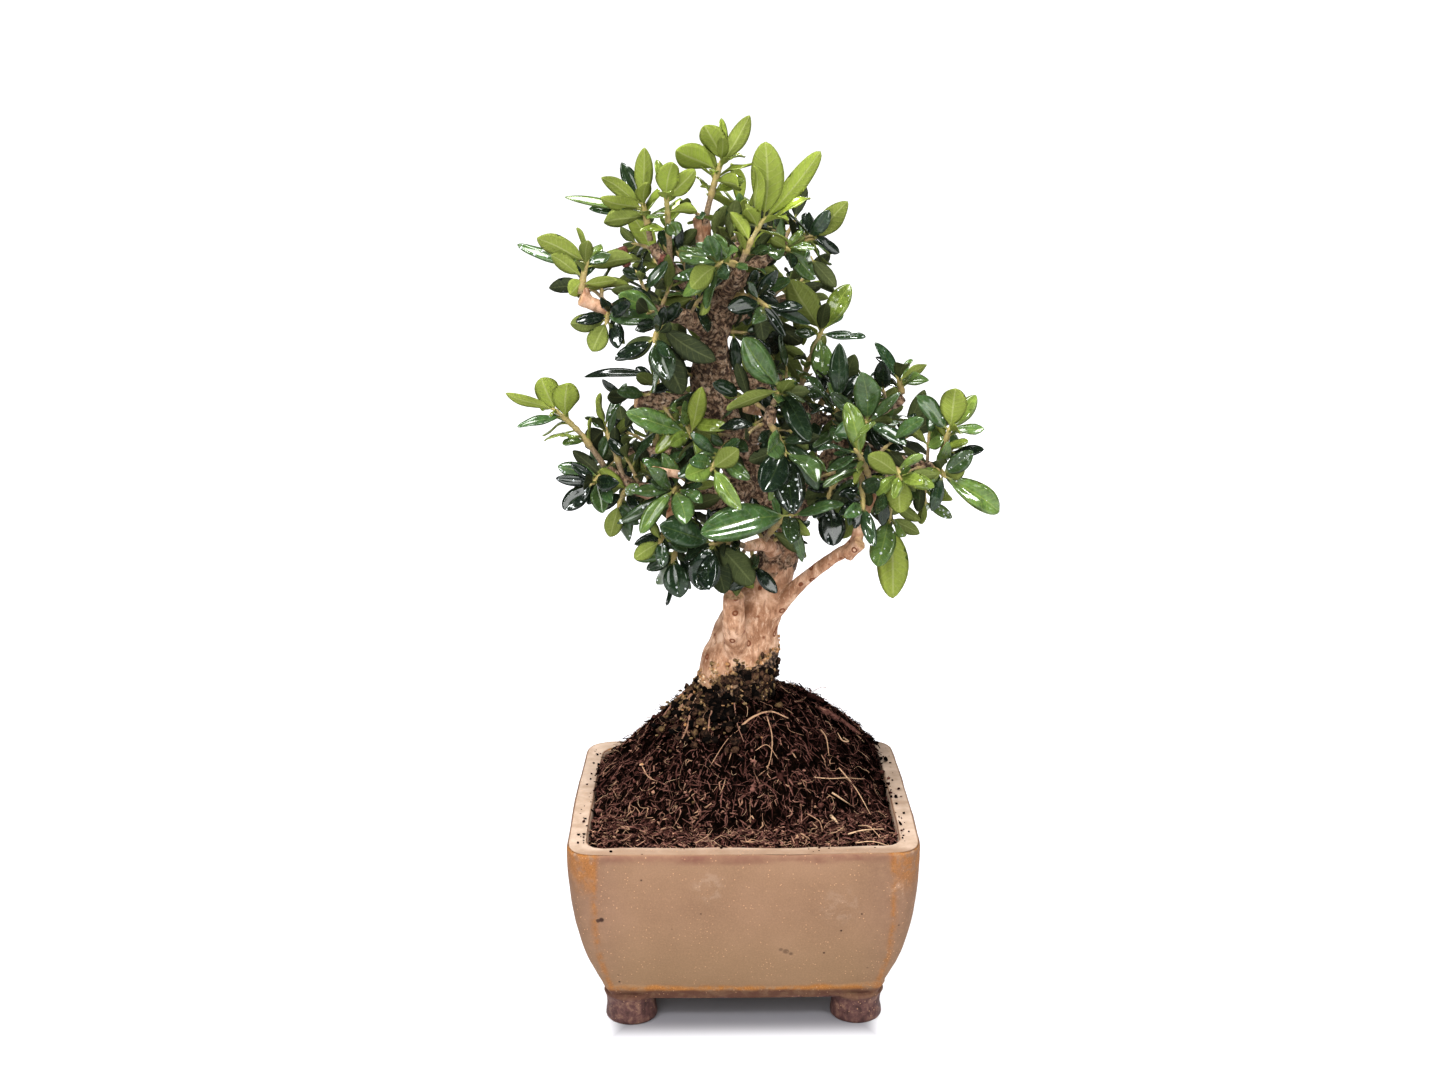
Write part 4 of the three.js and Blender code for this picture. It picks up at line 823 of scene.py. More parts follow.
def pot_wall():
    """The pot without its feet, as rings from the drain hole out below, up, over the rim and down inside."""
    outside = [lift(pot_ring(half, cut), z) for z, half, cut in curve_points(POT_OUTSIDE, 9)]
    inside = [lift(pot_ring(half, cut), z) for z, half, cut in curve_points(POT_INSIDE, 4)]
    low = lift(circle_like(outside[0][:, :2], DRAIN_RADIUS), POT_OUTSIDE[0][0])
    high = lift(circle_like(outside[0][:, :2], DRAIN_RADIUS), POT_FLOOR)
    rings = np.array([
        high, *between_rings(high, low, 5), low, *between_rings(low, outside[0], 16), *outside,
        *between_rings(outside[-1], inside[0], 9), *inside, *between_rings(inside[-1], high, 8)])
    out = ring_normals(rings)
    z = rings[..., 2]
    visible = smooth_step(z, 13, 15) * (np.abs(rings[..., :2]).max(-1) > 60)
    wave = 0.40 * noise(rings, 30, 3) + 0.22 * noise(rings, 11, 4) + 0.07 * noise(rings, 3, 5)
    lip = -0.22 * smooth_step(z + 0.7 * noise(rings, 14, 6), 81.6, 78.6) * (out[..., 2] < 0.5)
    tooled = -0.35 * np.abs(noise(rings, 5, 8)) * smooth_step(z, 16.5, 14) * (z > POT_OUTSIDE[0][0] + 0.2)
    push = (wave - 0.45) * visible + lip * (z > 30) * smooth_step(z, 30, 62) + tooled
    rings = rings + out * push[..., None]
    shell = Shell()
    shell.add(rings.reshape(-1, 3), [grid_faces(len(rings), rings.shape[1], True)])
    return linked("pot_raw", shell.mesh("pot_raw"))


def pot_feet():
    """Four round feet, knocked out of true by hand."""
    shell = Shell()
    for x in (-FOOT_SPREAD, FOOT_SPREAD):
        for y in (-FOOT_SPREAD, FOOT_SPREAD):
            foot = np.array([level_circle(x, y, radius, z, FOOT_SIDES) for z, radius in FOOT_PROFILE])
            out = unit(foot - [x, y, 0] - foot[..., 2:] * [0, 0, 1])
            knock = -0.28 * np.abs(noise(foot, 4, 9)) - 0.2 * np.abs(noise(foot, 9, 10))
            foot = foot + out * (knock * (foot[..., 2] > 0.1))[..., None]
            shell.add(foot.reshape(-1, 3), tube_faces(len(FOOT_PROFILE), FOOT_SIDES))
    return linked("feet_raw", shell.mesh("feet_raw"))


def build_pot():
    wall, feet = pot_wall(), pot_feet()
    mesh = applied(wall, "BOOLEAN", operation="UNION", object=feet, solver="MANIFOLD")
    for thing in (wall, feet):
        bpy.data.objects.remove(thing)
    paint(mesh, pot_tint(coordinates(mesh), normals(mesh)))
    piece("glazed_pot", mesh, [stoneware()], ["pot"])


def pot_tint(points, out):
    """Four tones: iron on ridges and edges, a paler rim and inner wall with painted top light on the rim's
    upper faces, feet darkened by wear with painted shade on the corner facets, and dark bands.
    """
    z = points[:, 2]
    far, near = np.sort(np.abs(points[:, :2]), 1)[:, ::-1].T
    levels = np.array(POT_OUTSIDE, float)
    flat = np.interp(z, levels[:, 0], levels[:, 1] - levels[:, 2])
    ridge = np.exp(-((near - flat) / 1.1) ** 2)
    facet = smooth_step(near - flat, -1, 2)
    upper = smooth_step(z + 6 * noise(points, 9, 11), 62, 80)
    # Faces of the rim turned upwards: painted top light, paler where light falls from above.
    top = smooth_step(out[:, 2], 0.74, 0.93) * (z > 81)
    outer = far > 52
    lowest = smooth_step(z + 1.2 * noise(points, 7, 12), 19.4, 17.2)
    lowest = lowest * smooth_step(z + noise(points, 3, 17), 14.2, 16.4)
    iron = np.clip(ridge * 0.95 + facet * upper + lowest, 0, 1) * outer * (1 - top)
    lip = smooth_step(z + 0.8 * noise(points, 12, 13), 79.0, 80.6) * smooth_step(z, 83.3, 82.5) * (1 - facet)
    line = lip * np.clip(0.75 + 0.6 * noise(points, 10, 16), 0.3, 1.0)
    seam = smooth_step(z + 0.8 * noise(points, 5, 14), 17, 15.2)
    band = np.clip(line + seam, 0, 1) * (1 - top) * outer
    # Corner facets given the dark foot colour: painted shade on the sides that face away from the light.
    shaded = 0.22 * smooth_step(near, 44, 63) * (z < 82) * outer
    foot = np.maximum(smooth_step(z + 1.0 * noise(points, 4, 15), 12.4, 10.8), shaded)
    inner = (far < np.interp(z, levels[:, 0], levels[:, 1]) - 5) & (z < 82.5)
    # Rim top painted paler as painted top light, less so at its front edge; the inner wall is paler too.
    pale = np.clip(top + inner * 0.8, 0, 1) * (1 - 0.62 * smooth_step(points[:, 1], -65, -70))
    return np.column_stack([iron, pale, foot, band])


# Soil
SOIL_ROWS = 84
SCATTER_HALF = 66
SOIL_HALF = 66.8
SHREDS = 7600
FIBRES = 1300
CRUMBS = 1100
RIM_CRUMBS = 110

# Rootlets: places on the soil with their rise above it, radius and tone.
ROOTLETS = [
    ([(-14, -22, 0.5), (-6, -14, 1.2), (0, -10, 1.6)], 0.2, 0.80),
    ([(-1, -10, 1.2), (5, -7, 2.0), (13, -3, 2.4), (21, -2, 1.6)], 0.52, 0.84),
    ([(11.4, -5, 1.8), (13.4, -13, 2.2), (12.8, -18, 1.8), (11, -21, 0.8)], 0.3, 0.84),
    ([(6, -18, 1.6), (11, -16, 2.6), (16, -18, 1.0)], 0.24, 0.82),
    ([(36, 6, 1.0), (38, 0, 1.8), (39, -6, 0.9)], 0.34, 0.84),
    ([(47, 18, 1.4), (49, 13, 2.2), (46, 9, 2.0), (44, 12, 1.4)], 0.36, 0.93),
    ([(31.6, -19, 1.0), (38.3, -18, 2.0), (45.7, -12.5, 1.8), (55, -2.4, 1.0)], 0.26, 0.93),
    ([(43.3, -8, 1.2), (50, -13, 2.0), (56, -26, 1.0)], 0.3, 0.9),
    ([(39.5, -21, 1.0), (47.5, -19, 1.2)], 0.4, 0.95),
    ([(38.6, -28, 1.2), (41.2, -35, 1.0)], 0.75, 0.97),
    ([(44.5, -49, 1.0), (50.7, -46, 2.0), (60.4, -42, 1.2)], 0.38, 0.95),
    ([(50, -36, 1.0), (54, -44, 2.2), (58, -52, 1.0)], 0.26, 0.9),
    ([(47, -58, 1.0), (54, -60, 1.8), (62, -59, 1.0)], 0.3, 0.92),
    ([(28, -32, 1.0), (33, -36, 1.8), (34, -43, 0.8)], 0.24, 0.8),
    ([(-20, -58, 1.0), (-15, -48, 2.0), (-13, -42, 0.8)], 0.22, 0.84),
    ([(-44, -10, 1.0), (-41, -16, 1.8), (-37, -20, 0.8)], 0.26, 0.8),
    ([(4, 58, 1.0), (14, 56, 2.0), (24, 60, 1.0)], 0.3, 0.86),
    ([(-40, 44, 1.0), (-34, 52, 2.0), (-24, 55, 1.0)], 0.3, 0.86),
    ([(36, 27, 0.2), (42, 30, 0.8), (49, 34, 0.8), (56, 40, 0.2)], 1.8, 0.52),
    ([(-19, 5, 2.6), (-22, 1, 2.0), (-24, -5, 1.4), (-27, -10, 0.8)], 0.6, 0.78),
    ([(-22, 10, 2.4), (-26, 7, 2.0), (-31, 2, 1.2)], 0.7, 0.76),
    ([(-23, 17, 2.2), (-29, 16, 1.8), (-36, 12, 0.9)], 0.8, 0.70),
    ([(-12, -2, 2.4), (-14, -7, 1.6), (-15, -13, 0.8)], 0.5, 0.74),
    ([(-3, -4, 2.2), (-2, -9, 1.6), (1, -15, 0.8)], 0.35, 0.72),
    ([(31, 33, 1.0), (35, 34, 3.0), (39, 35, 3.6)], 1.3, 0.30),
]


def mound_flank(x, y):
    """How far the heap reaches, and how full it is, in the direction of a place seen from the trunk."""
    angle = np.degrees(np.arctan2(y, x)) % 360
    after = np.clip(np.searchsorted(FLANK_ANGLES, angle, side="right"), 1, len(FLANK_ANGLES) - 1)
    angles, reaches, bulges = (np.array(a, float) for a in (FLANK_ANGLES, FLANK_REACHES, FLANK_BULGES))
    t = (angle - angles[after - 1]) / (angles[after] - angles[after - 1])
    t = t * t * (3 - 2 * t)
    return (reaches[after - 1] + (reaches[after] - reaches[after - 1]) * t,
            bulges[after - 1] + (bulges[after] - bulges[after - 1]) * t)


def soil_height(x, y):
    dx, dy = x - TRUNK_FOOT[0], y - TRUNK_FOOT[1]
    reach, bulge = mound_flank(dx, dy)
    out = np.maximum(0, np.hypot(dx, dy) - PLUG_RADIUS) / (reach - PLUG_RADIUS)
    heap = np.maximum(0, 1 - out ** bulge)
    lumps = np.sin(x * 0.35 + 1) * np.cos(y * 0.31) + 0.7 * np.sin(x * 0.17 - y * 0.43)
    return SOIL_LEVEL + MOUND_HEIGHT * heap + 1.1 * lumps


def soil_surface(x, y):
    """Height with the fine lumps that the visible soil has."""
    flat = np.stack([x, y, np.zeros_like(x)], -1)
    fluff = 0.9 * noise(flat, 5, 21) + 0.75 * noise(flat, 2.4, 22) + 0.45 * noise(flat, 1.1, 23)
    return soil_height(x, y) + fluff - 0.6


def build_soil():
    """The filling, as rings from below, up along the wall and in over the heap to the trunk."""
    rim = pot_ring(*POT_INSIDE[1][1:], SEAT_GAP)
    hole = circle_like(rim, PLUG_RADIUS + SEAT_GAP, TRUNK_FOOT)
    recess = circle_like(rim, SCREEN_RECESS_RADIUS)
    rings = [lift(recess * 0.02, SCREEN_TOP), lift(recess, SCREEN_TOP), lift(recess, POT_FLOOR + SEAT_GAP)]
    for z, half, cut in POT_INSIDE[:0:-1]:
        height = POT_FLOOR + SEAT_GAP if z == POT_FLOOR else z
        if height < SOIL_LEVEL - 5:
            rings.append(lift(pot_ring(half, cut, SEAT_GAP), height))
    rings.append(lift(pot_ring(65.0, 9.3, SEAT_GAP), SOIL_LEVEL - 4))
    for k in range(SOIL_ROWS + 1):
        t = k / SOIL_ROWS
        ring = rim + (hole - rim) * t
        z = soil_surface(ring[:, 0], ring[:, 1])
        rings.append(lift(ring, np.where(t == 0, np.minimum(z, SOIL_LEVEL + 0.5), z)))
    rings += [lift(hole, PLUG_BOTTOM + 6), lift(hole, PLUG_BOTTOM),
              lift(TRUNK_FOOT + (hole - TRUNK_FOOT) * 0.02, PLUG_BOTTOM)]
    rings = np.array(rings)
    shell = Shell()
    shell.add(rings.reshape(-1, 3), tube_faces(*rings.shape[:2]))
    piece("peat_filling", shell.mesh("peat_filling"), [peat()], ["soil"])


def inside_pot(x, y, margin):
    """True where a place is on the soil, clear of rim and trunk."""
    half, cut = POT_INSIDE[1][1] - margin, POT_INSIDE[1][2]
    in_square = (np.abs(x) < half) & (np.abs(y) < half) & (np.abs(x) + np.abs(y) < 2 * half - cut)
    return in_square & (np.hypot(x - TRUNK_FOOT[0], y - TRUNK_FOOT[1]) > PLUG_RADIUS + 0.3)


def scatter_on_soil(count, margin, rng):
    x, y = rng.uniform(-SCATTER_HALF, SCATTER_HALF, (2, count * 3))
    keep = np.flatnonzero(inside_pot(x, y, margin))[:count]
    return x[keep], y[keep]


def lay(x, y, heading, length, rings, bend, rise, rng):
    """Paths that follow the soil from each place along a heading, curling as they go."""
    count = len(x)
    t = np.linspace(-0.5, 0.5, rings)[None, :] * length[:, None]
    turn = heading[:, None] + bend[:, None] * np.linspace(-1, 1, rings)[None, :]
    px = np.clip(x[:, None] + np.cos(turn) * t, -SOIL_HALF, SOIL_HALF)
    py = np.clip(y[:, None] + np.sin(turn) * t, -SOIL_HALF, SOIL_HALF)
    tilt = rng.normal(0, 0.35, count)[:, None] * t
    pz = soil_surface(px, py) * 0.65 + soil_surface(x, y)[:, None] * 0.35 + tilt + rise[:, None]
    return np.stack([px, py, pz], -1)


def redness(x, y):
    """The fresh soil in front and to the left is redder than the old root ball."""
    place = np.stack([x, y, np.zeros_like(x)], -1)
    return np.clip(0.5 - (y + 8) / 60 - x / 400 + 0.25 * noise(place, 22, 31), 0, 1)


def build_shreds(finish):
    """Short flat shreds of peat, three rings of three points each."""
    rng = np.random.default_rng(11)
    x, y = scatter_on_soil(SHREDS, 0.4, rng)
    count = len(x)
    length = rng.gamma(3.0, 0.95, count) + 1.2
    paths = lay(x, y, rng.uniform(0, 2 * np.pi, count), length, 3, rng.normal(0, 0.7, count),
                rng.uniform(0.0, 1.0, count), rng)
    width = rng.uniform(0.24, 0.60, count)[:, None] * [0.6, 1.0, 0.35]
    points, faces = strands(paths, width, 3, 0.6, rng.uniform(0, np.pi, count))
    red = redness(x, y)
    tone = np.clip(rng.normal(0.16 + 0.33 * red, 0.21), 0, 0.82)
    tint = np.column_stack([tone, rng.random(count), red, red])
    shell = Shell()
    shell.add(points, faces, 0, np.repeat(tint, 9, 0))
    piece("peat_shreds", shell.mesh("peat_shreds"), [finish])


def build_fibres(finish):
    """Fine fibres all over the soil, and the larger rootlets one by one."""
    rng = np.random.default_rng(12)
    shell = Shell()
    x, y = scatter_on_soil(FIBRES, 2.0, rng)
    count = len(x)
    length = rng.gamma(3.0, 2.0, count) + 2
    paths = lay(x, y, rng.uniform(0, 2 * np.pi, count), length, 8, rng.normal(0, 0.9, count),
                rng.uniform(0.2, 1.7, count), rng)
    paths[..., 2] += 0.5 * np.sin(np.linspace(0, 6, 8)[None] + rng.uniform(0, 6, count)[:, None])
    width = rng.uniform(0.09, 0.2, count)[:, None] * np.linspace(1, 0.5, 8)
    points, faces = strands(paths, width, 3)
    tone = np.clip(rng.normal(0.54, 0.2, count), 0.1, 0.95)
    shell.add(points, faces, 0, grey(tone, 24))
    for places, radius, tone in ROOTLETS:
        path = curve_points([drop_on_soil(*place) for place in places], 6)[None]
        taper = radius * (1 - 0.5 * np.linspace(0, 1, path.shape[1])[None] ** 2)
        taper = taper * (1 + 0.2 * noise(path, 2.5, 33))
        points, faces = strands(path, taper, 7)
        shell.add(points, faces, 0, [tone] * 4)
    piece("rootlets", shell.mesh("rootlets"), [finish])


def drop_on_soil(x, y, rise):
    return (x, y, float(soil_height(np.array(x), np.array(y))) + rise)


def blobs(centres, radii, outward, rng, rings=4, sides=6, knobbly=0.22):
    """Small uneven grains, pressed flat along the outward direction, and the points in each."""
    count = len(centres)
    ball = [[math.sqrt(1 - h * h) * math.cos(a), math.sqrt(1 - h * h) * math.sin(a), h]
            for h in np.cos(np.linspace(0, np.pi, rings + 2)[1:-1]) for a in around(sides)]
    ball = np.array(ball + [[0, 0, 1], [0, 0, -1]])
    helper = np.where(np.abs(outward[:, 2:]) > 0.8, [1.0, 0, 0], [0, 0, 1.0])
    side = unit(np.cross(helper, outward))
    across = np.cross(outward, side)
    stretch = rng.uniform(0.7, 1.35, (count, 1, 3)) * [1, 1, 0.7]
    local = ball[None] * stretch * (1 + knobbly * rng.normal(0, 1, (count, len(ball), 1)))
    local = local * radii[:, None, None]
    points = centres[:, None] + local[..., :1] * side[:, None] + local[..., 1:2] * across[:, None] \
        + local[..., 2:] * outward[:, None]
    size = len(ball)
    start = np.arange(count)[:, None, None] * size
    index = np.arange(rings * sides).reshape(rings, sides)
    near, far = index[:-1], index[1:]
    quads = np.stack([near, far, np.roll(far, -1, 1), np.roll(near, -1, 1)], -1).reshape(1, -1, 4) + start
    top = np.stack([np.full(sides, size - 2), index[0], np.roll(index[0], -1)], -1)[None] + start
    low = np.stack([np.full(sides, size - 1), np.roll(index[-1], -1), index[-1]], -1)[None] + start
    return points.reshape(-1, 3), [quads.reshape(-1, 4), top.reshape(-1, 3), low.reshape(-1, 3)], size


def crumbs_on_rim(rng):
    """Places and radii of crumbs along the rim, with most on its right side."""
    side = rng.choice(4, RIM_CRUMBS, p=[0.42, 0.22, 0.22, 0.14])
    along = rng.uniform(-1, 1, RIM_CRUMBS) * 62
    away = 66.6 + rng.gamma(1.1, 1.7, RIM_CRUMBS)
    x = np.where(side % 2 == 0, away * (1 - side), along)
    y = np.where(side % 2 == 0, along, away * (2 - side))
    rim = np.stack([x, y], 1)[away < 73]
    radii = rng.gamma(2, 0.13, len(rim)) + 0.16
    return np.column_stack([rim, POT_OUTSIDE[-1][0] - 0.35 + radii * 0.5]), radii


def build_crumbs(finish):
    """Crumbs of peat on the rim and along the wall, and grains on the soil."""
    rng = np.random.default_rng(13)
    x, y = scatter_on_soil(CRUMBS, 0.2, rng)
    z = soil_surface(x, y) + rng.uniform(-0.2, 0.6, len(x))
    soil_radii = rng.gamma(3, 0.16, len(x)) + 0.25
    rim, rim_radii = crumbs_on_rim(rng)
    centres = np.vstack([np.column_stack([x, y, z]), rim])
    up = np.tile([0.0, 0.0, 1.0], (len(centres), 1))
    points, faces, size = blobs(centres, np.concatenate([soil_radii, rim_radii]), up, rng)
    soil_tone = rng.normal(0.25 + 0.2 * redness(x, y), 0.16)
    tone = np.clip(np.concatenate([soil_tone, rng.normal(0.2, 0.16, len(rim))]), 0, 0.9)
    shell = Shell()
    shell.add(points, faces, 0, grey(tone, size))
    piece("peat_crumbs", shell.mesh("peat_crumbs"), [finish])


# Trunk and branches
CUT_LIMBS = {"stub_front", "left_stub", "crown_low"}
# Cut stubs that carry no shoot: foot, end and radius.
EXTRA_STUBS = [
    ([14, 2, 254.4], [2.2, -8, 258.4], 2.1), ([52.2, -8, 232.6], [65.5, -14, 232.2], 2.2),
    ([-24.2, -24, 232.5], [-37, -30, 235.8], 1.9), ([14, 6, 250], [14, 2, 262], 1.9),
    ([46, -8.5, 194], [51.5, -13, 200.5], 3.1), ([-62, -20, 303], [-64.5, -20, 310.6], 2.0),
    ([-16, 8, 324], [-17.6, 2, 338], 1.9), ([-3, -7.5, 170], [-3.4, -10, 188], 3.6),
]
DEAD_STUBS = [
    ([-47.5, 0, 318], [-49.4, -2, 326], 1.9), ([-33.5, -4, 317], [-31.5, -8, 322.5], 1.5),
    ([-13, 2, 306], [-12, -6, 311], 1.5),
]
# Height and radius of the trunk's foot in the soil.
FOOT_PLUG = [
    (PLUG_BOTTOM + SEAT_GAP, 15.8), (PLUG_BOTTOM + 5, 18.4), (112, 18.4), (121, 18.0), (127, 17.4),
    (133, 16.6),
]
PLUG_SIDES = 64
STUB_SIDES = 14
VOXEL = 0.85
SMOOTH_ROUNDS = 4
CRUST_SLOPE = 0.42
FOOT_GRAINS = 900
BARK_GRAINS = 190
SKIRT_GRAINS = 560


def limb_tube(knots, sides, flat_end, seed):
    """A tapering, slightly uneven tube through the knots, each a place and a radius."""
    path = curve_points(np.asarray(knots, float), 7)
    radius = path[:, 3].copy()
    path = path[:, :3]
    if not flat_end:
        radius[-1] *= 0.8
    radius = radius * (1 + 0.07 * noise(path, 9, seed))
    along = unit(np.gradient(path, axis=0))
    side = np.array([0.31, 0.95, 0.05])
    angle = around(sides)
    rings = []
    for place, direction, size in zip(path, along, radius):
        side = side - direction * side.dot(direction)
        side = side / np.linalg.norm(side)
        across = np.cross(direction, side)
        rings.append(place + size * (np.cos(angle)[:, None] * side + np.sin(angle)[:, None] * across))
    return np.vstack(rings), tube_faces(len(rings), sides)


def relax(points, edges, rounds):
    """Evens out a mesh without shrinking it."""
    degree = np.bincount(edges.ravel(), minlength=len(points))[:, None]
    for k in range(rounds * 2):
        total = np.zeros_like(points)
        for axis in range(3):
            total[:, axis] = np.bincount(edges[:, 0], points[edges[:, 1], axis], len(points)) \
                + np.bincount(edges[:, 1], points[edges[:, 0], axis], len(points))
        points = points + (0.5 if k % 2 == 0 else -0.53) * (total / degree - points)
    return points


def trunk_tubes():
    """Limbs, stubs and foot as loose tubes. Samples along them hold place, radius, dead wood and young bark,
    and cut ends hold place, direction, radius and dead wood."""
    raw = Shell()
    samples = []
    cut_ends = []
    for seed, (name, knots) in enumerate(LIMBS.items()):
        raw.add(*limb_tube(knots, 28 if knots[0][3] > 10 else 16, name in CUT_LIMBS, seed))
        path = curve_points(knots, 8)
        fresh_from = 0.6 if name == "crown_low" else 1.1
        samples.extend((p[:3], p[3], 0.0, float(k / len(path) > fresh_from)) for k, p in enumerate(path))
        if name in CUT_LIMBS:
            end = np.array(knots[-1][:3], float)
            cut_ends.append((end, unit(path[-1, :3] - path[-3, :3]), knots[-1][3], 0.0))
    for stubs, dead in ((EXTRA_STUBS, 0.0), (DEAD_STUBS, 1.0)):
        for start, end, radius in stubs:
            start, end = np.array(start, float), np.array(end, float)
            middle = (start + end) / 2
            knots = np.array([[*start, radius], [*middle, radius * 0.95], [*end, radius * 1.05]])
            raw.add(*limb_tube(knots, STUB_SIDES, True, 77))
            samples.extend((p[:3], p[3], dead, 1.0 - dead) for p in curve_points(knots, 6)[4:])
            cut_ends.append((end, unit(end - start), radius, dead))
    plug = np.vstack([level_circle(*TRUNK_FOOT, radius, z, PLUG_SIDES) for z, radius in FOOT_PLUG])
    raw.add(plug, tube_faces(len(FOOT_PLUG), PLUG_SIDES))
    return raw, samples, cut_ends


def nearest_samples(samples, points):
    """Radius, dead wood and young bark of the sample nearest to each point."""
    tree = kdtree.KDTree(len(samples))
    for i, sample in enumerate(samples):
        tree.insert(Vector(sample[0]), i)
    tree.balance()
    nearest = np.array([tree.find(Vector(p))[1] for p in points])
    return [np.array([sample[k] for sample in samples])[nearest] for k in (1, 2, 3)]


def melted(raw):
    """The tubes as one smooth skin, and its points."""
    rough = linked("trunk_raw", raw.mesh("trunk_raw"))
    mesh = applied(rough, "REMESH", mode="VOXEL", voxel_size=VOXEL * MM, use_smooth_shade=True)
    bpy.data.objects.remove(rough)
    edges = np.empty(len(mesh.edges) * 2, np.int32)
    mesh.edges.foreach_get("vertices", edges)
    points = relax(coordinates(mesh), edges.reshape(-1, 2), SMOOTH_ROUNDS)
    set_coordinates(mesh, points)
    return mesh, points


def mark_cuts(points, out, cut_ends, dead):
    """Where the cut ends are. The bark round each counts as partly dead."""
    cut = np.zeros(len(points))
    for end, direction, size, is_dead in cut_ends:
        away = points - end
        beyond = away @ direction
        sideways = np.linalg.norm(away - beyond[:, None] * direction, axis=1)
        face = (beyond > -1.0) & (sideways < size * 1.25) & (out @ direction > 0.55)
        collar = (beyond > -2.6) & (beyond < 1) & (sideways < size * 1.7) & ~face
        cut[face] = 0.4 if is_dead else 0.85
        dead[collar] = np.maximum(dead[collar], 0.55 if is_dead else 0.15)
    return cut


def build_trunk():
    """The skin with bark worked into it. Returns what the nodules at its foot need."""
    raw, samples, cut_ends = trunk_tubes()
    mesh, points = melted(raw)
    out = normals(mesh)
    radius, dead, fresh = nearest_samples(samples, points)
    z = points[:, 2]
    rough_edge = 4.5 * noise(points, 9, 41) + 3.5 * noise(points, 3.5, 42)
    crust = smooth_step(z - CRUST_SLOPE * (points[:, 0] + 3) + rough_edge, 144, 133)
    old = np.clip(smooth_step(z, 168, 190) + 0.55 * smooth_step(z, 158, 180) * noise(points, 12, 43), 0, 1)
    old = old * (1 - 0.75 * smooth_step(radius, 5.5, 2.5) * smooth_step(z, 236, 210)) * (1 - 0.7 * fresh)
    cut = mark_cuts(points, out, cut_ends, dead)
    push = 0.55 * noise(points, 6, 44) * smooth_step(radius, 2, 8) + 0.14 * noise(points, 2.6, 45)
    push += old * (0.62 * noise(points, 3.4, 46) + 0.34 * noise(points, 1.7, 47))
    push += crust * (1.3 * noise(points, 5, 48) + 0.85 * noise(points, 2.3, 49) - 0.2)
    push = push * (1 - 0.7 * (cut > 0.3))
    buried = smooth_step(z, 121, 117)
    push = push * (1 - buried) - 0.25 * buried
    points = points + out * push[:, None]
    set_coordinates(mesh, points)
    paint(mesh, np.column_stack([crust, old, cut, dead]))
    mesh.polygons.foreach_set("use_smooth", [True] * len(mesh.polygons))
    piece("old_trunk", mesh, [bark()], ["trunk"])
    return points, normals(mesh), crust


def build_nodules(finish, points, out, crust):
    """Corky nodules and clinging crumbs round the foot of the trunk, and a skirt of grains to its left."""
    rng = np.random.default_rng(14)
    z = points[:, 2]
    low = np.flatnonzero((z > 119) & (z < 140) & (out[:, 2] > -0.5) & (crust > 0.5))
    high = np.flatnonzero((z > 132) & (z < 152) & (crust > 0.02) & (crust < 0.6))
    chosen = np.concatenate([rng.choice(low, FOOT_GRAINS, replace=False),
                             rng.choice(high, BARK_GRAINS, replace=False)])
    angle = np.radians(rng.normal(222, 34, SKIRT_GRAINS))
    away = 17.5 + rng.gamma(1.6, 4.0, SKIRT_GRAINS)
    x, y = TRUNK_FOOT[0] + away * np.cos(angle), TRUNK_FOOT[1] + away * np.sin(angle)
    skirt = np.column_stack([x, y, soil_height(x, y) + rng.uniform(-0.4, 1.6, SKIRT_GRAINS)])
    radii = np.concatenate([rng.gamma(3, 0.28, FOOT_GRAINS) + 0.3, rng.gamma(3, 0.17, BARK_GRAINS) + 0.35,
                            rng.gamma(3, 0.30, SKIRT_GRAINS) + 0.35])
    radii = np.minimum(radii, 1.9)
    outward = np.vstack([out[chosen], np.tile([0.0, 0.0, 1.0], (SKIRT_GRAINS, 1))])
    centres = np.vstack([points[chosen], skirt]) + outward * radii[:, None] * 0.35
    tone = np.concatenate([rng.normal(0.30, 0.20, FOOT_GRAINS), rng.normal(0.74, 0.12, BARK_GRAINS),
                           rng.normal(0.27, 0.20, SKIRT_GRAINS)])
    tone = np.clip(np.clip(tone, 0, 0.95) + 0.16 * noise(centres, 5, 51), 0, 0.95)
    tone = np.where((centres[:, 0] < -16) & (tone > 0.18), tone + 0.12, tone)
    tan = rng.random(len(tone)) < 0.15 + 0.12 * noise(centres, 7, 52)
    tone = np.where(tan, rng.uniform(0.5, 0.95, len(tone)), tone)
    radii = np.where(tone > 0.5, np.minimum(radii, 1.0) * 0.8, radii)
    grains, faces, size = blobs(centres, radii, outward, rng, 4, 7, 0.2)
    shell = Shell()
    shell.add(grains, faces, 0, grey(tone, size))
    piece("root_nodules", shell.mesh("root_nodules"), [finish])


# Leaves
LEAF_ROWS = np.array([0, 0.05, 0.1, 0.15, 0.21, 0.28, 0.36, 0.45, 0.54, 0.63, 0.72, 0.80, 0.87, 0.93, 0.97])
SMALL_ROWS = np.array([0, 0.08, 0.16, 0.28, 0.42, 0.58, 0.74, 0.88, 0.96])
LEAF_COLUMNS = np.array([-1, -0.66, -0.33, 0, 0.33, 0.66, 1.0])
SMALL_COLUMNS = np.array([-1, -0.5, 0, 0.5, 1.0])
STALK = 0.1
BLADE = 0.42
UPPER, UNDER, STEM, DROP = range(4)
# Drops of water: height and width of their rings, for a drop of size 1, and the height of their top.
DROP_RINGS = ((-0.12, 1.0), (0.22, 0.95), (0.46, 0.62))
DROP_TOP = 0.56
DROP_SIDES = 8
# Small leaves between the pairs of a shoot, and clearances to other leaves and to leaves of the same shoot.
FILL_TRIES = 26
FILL_LEAVES = 7
FILL_CLEARANCES = (2.4, 1.8)
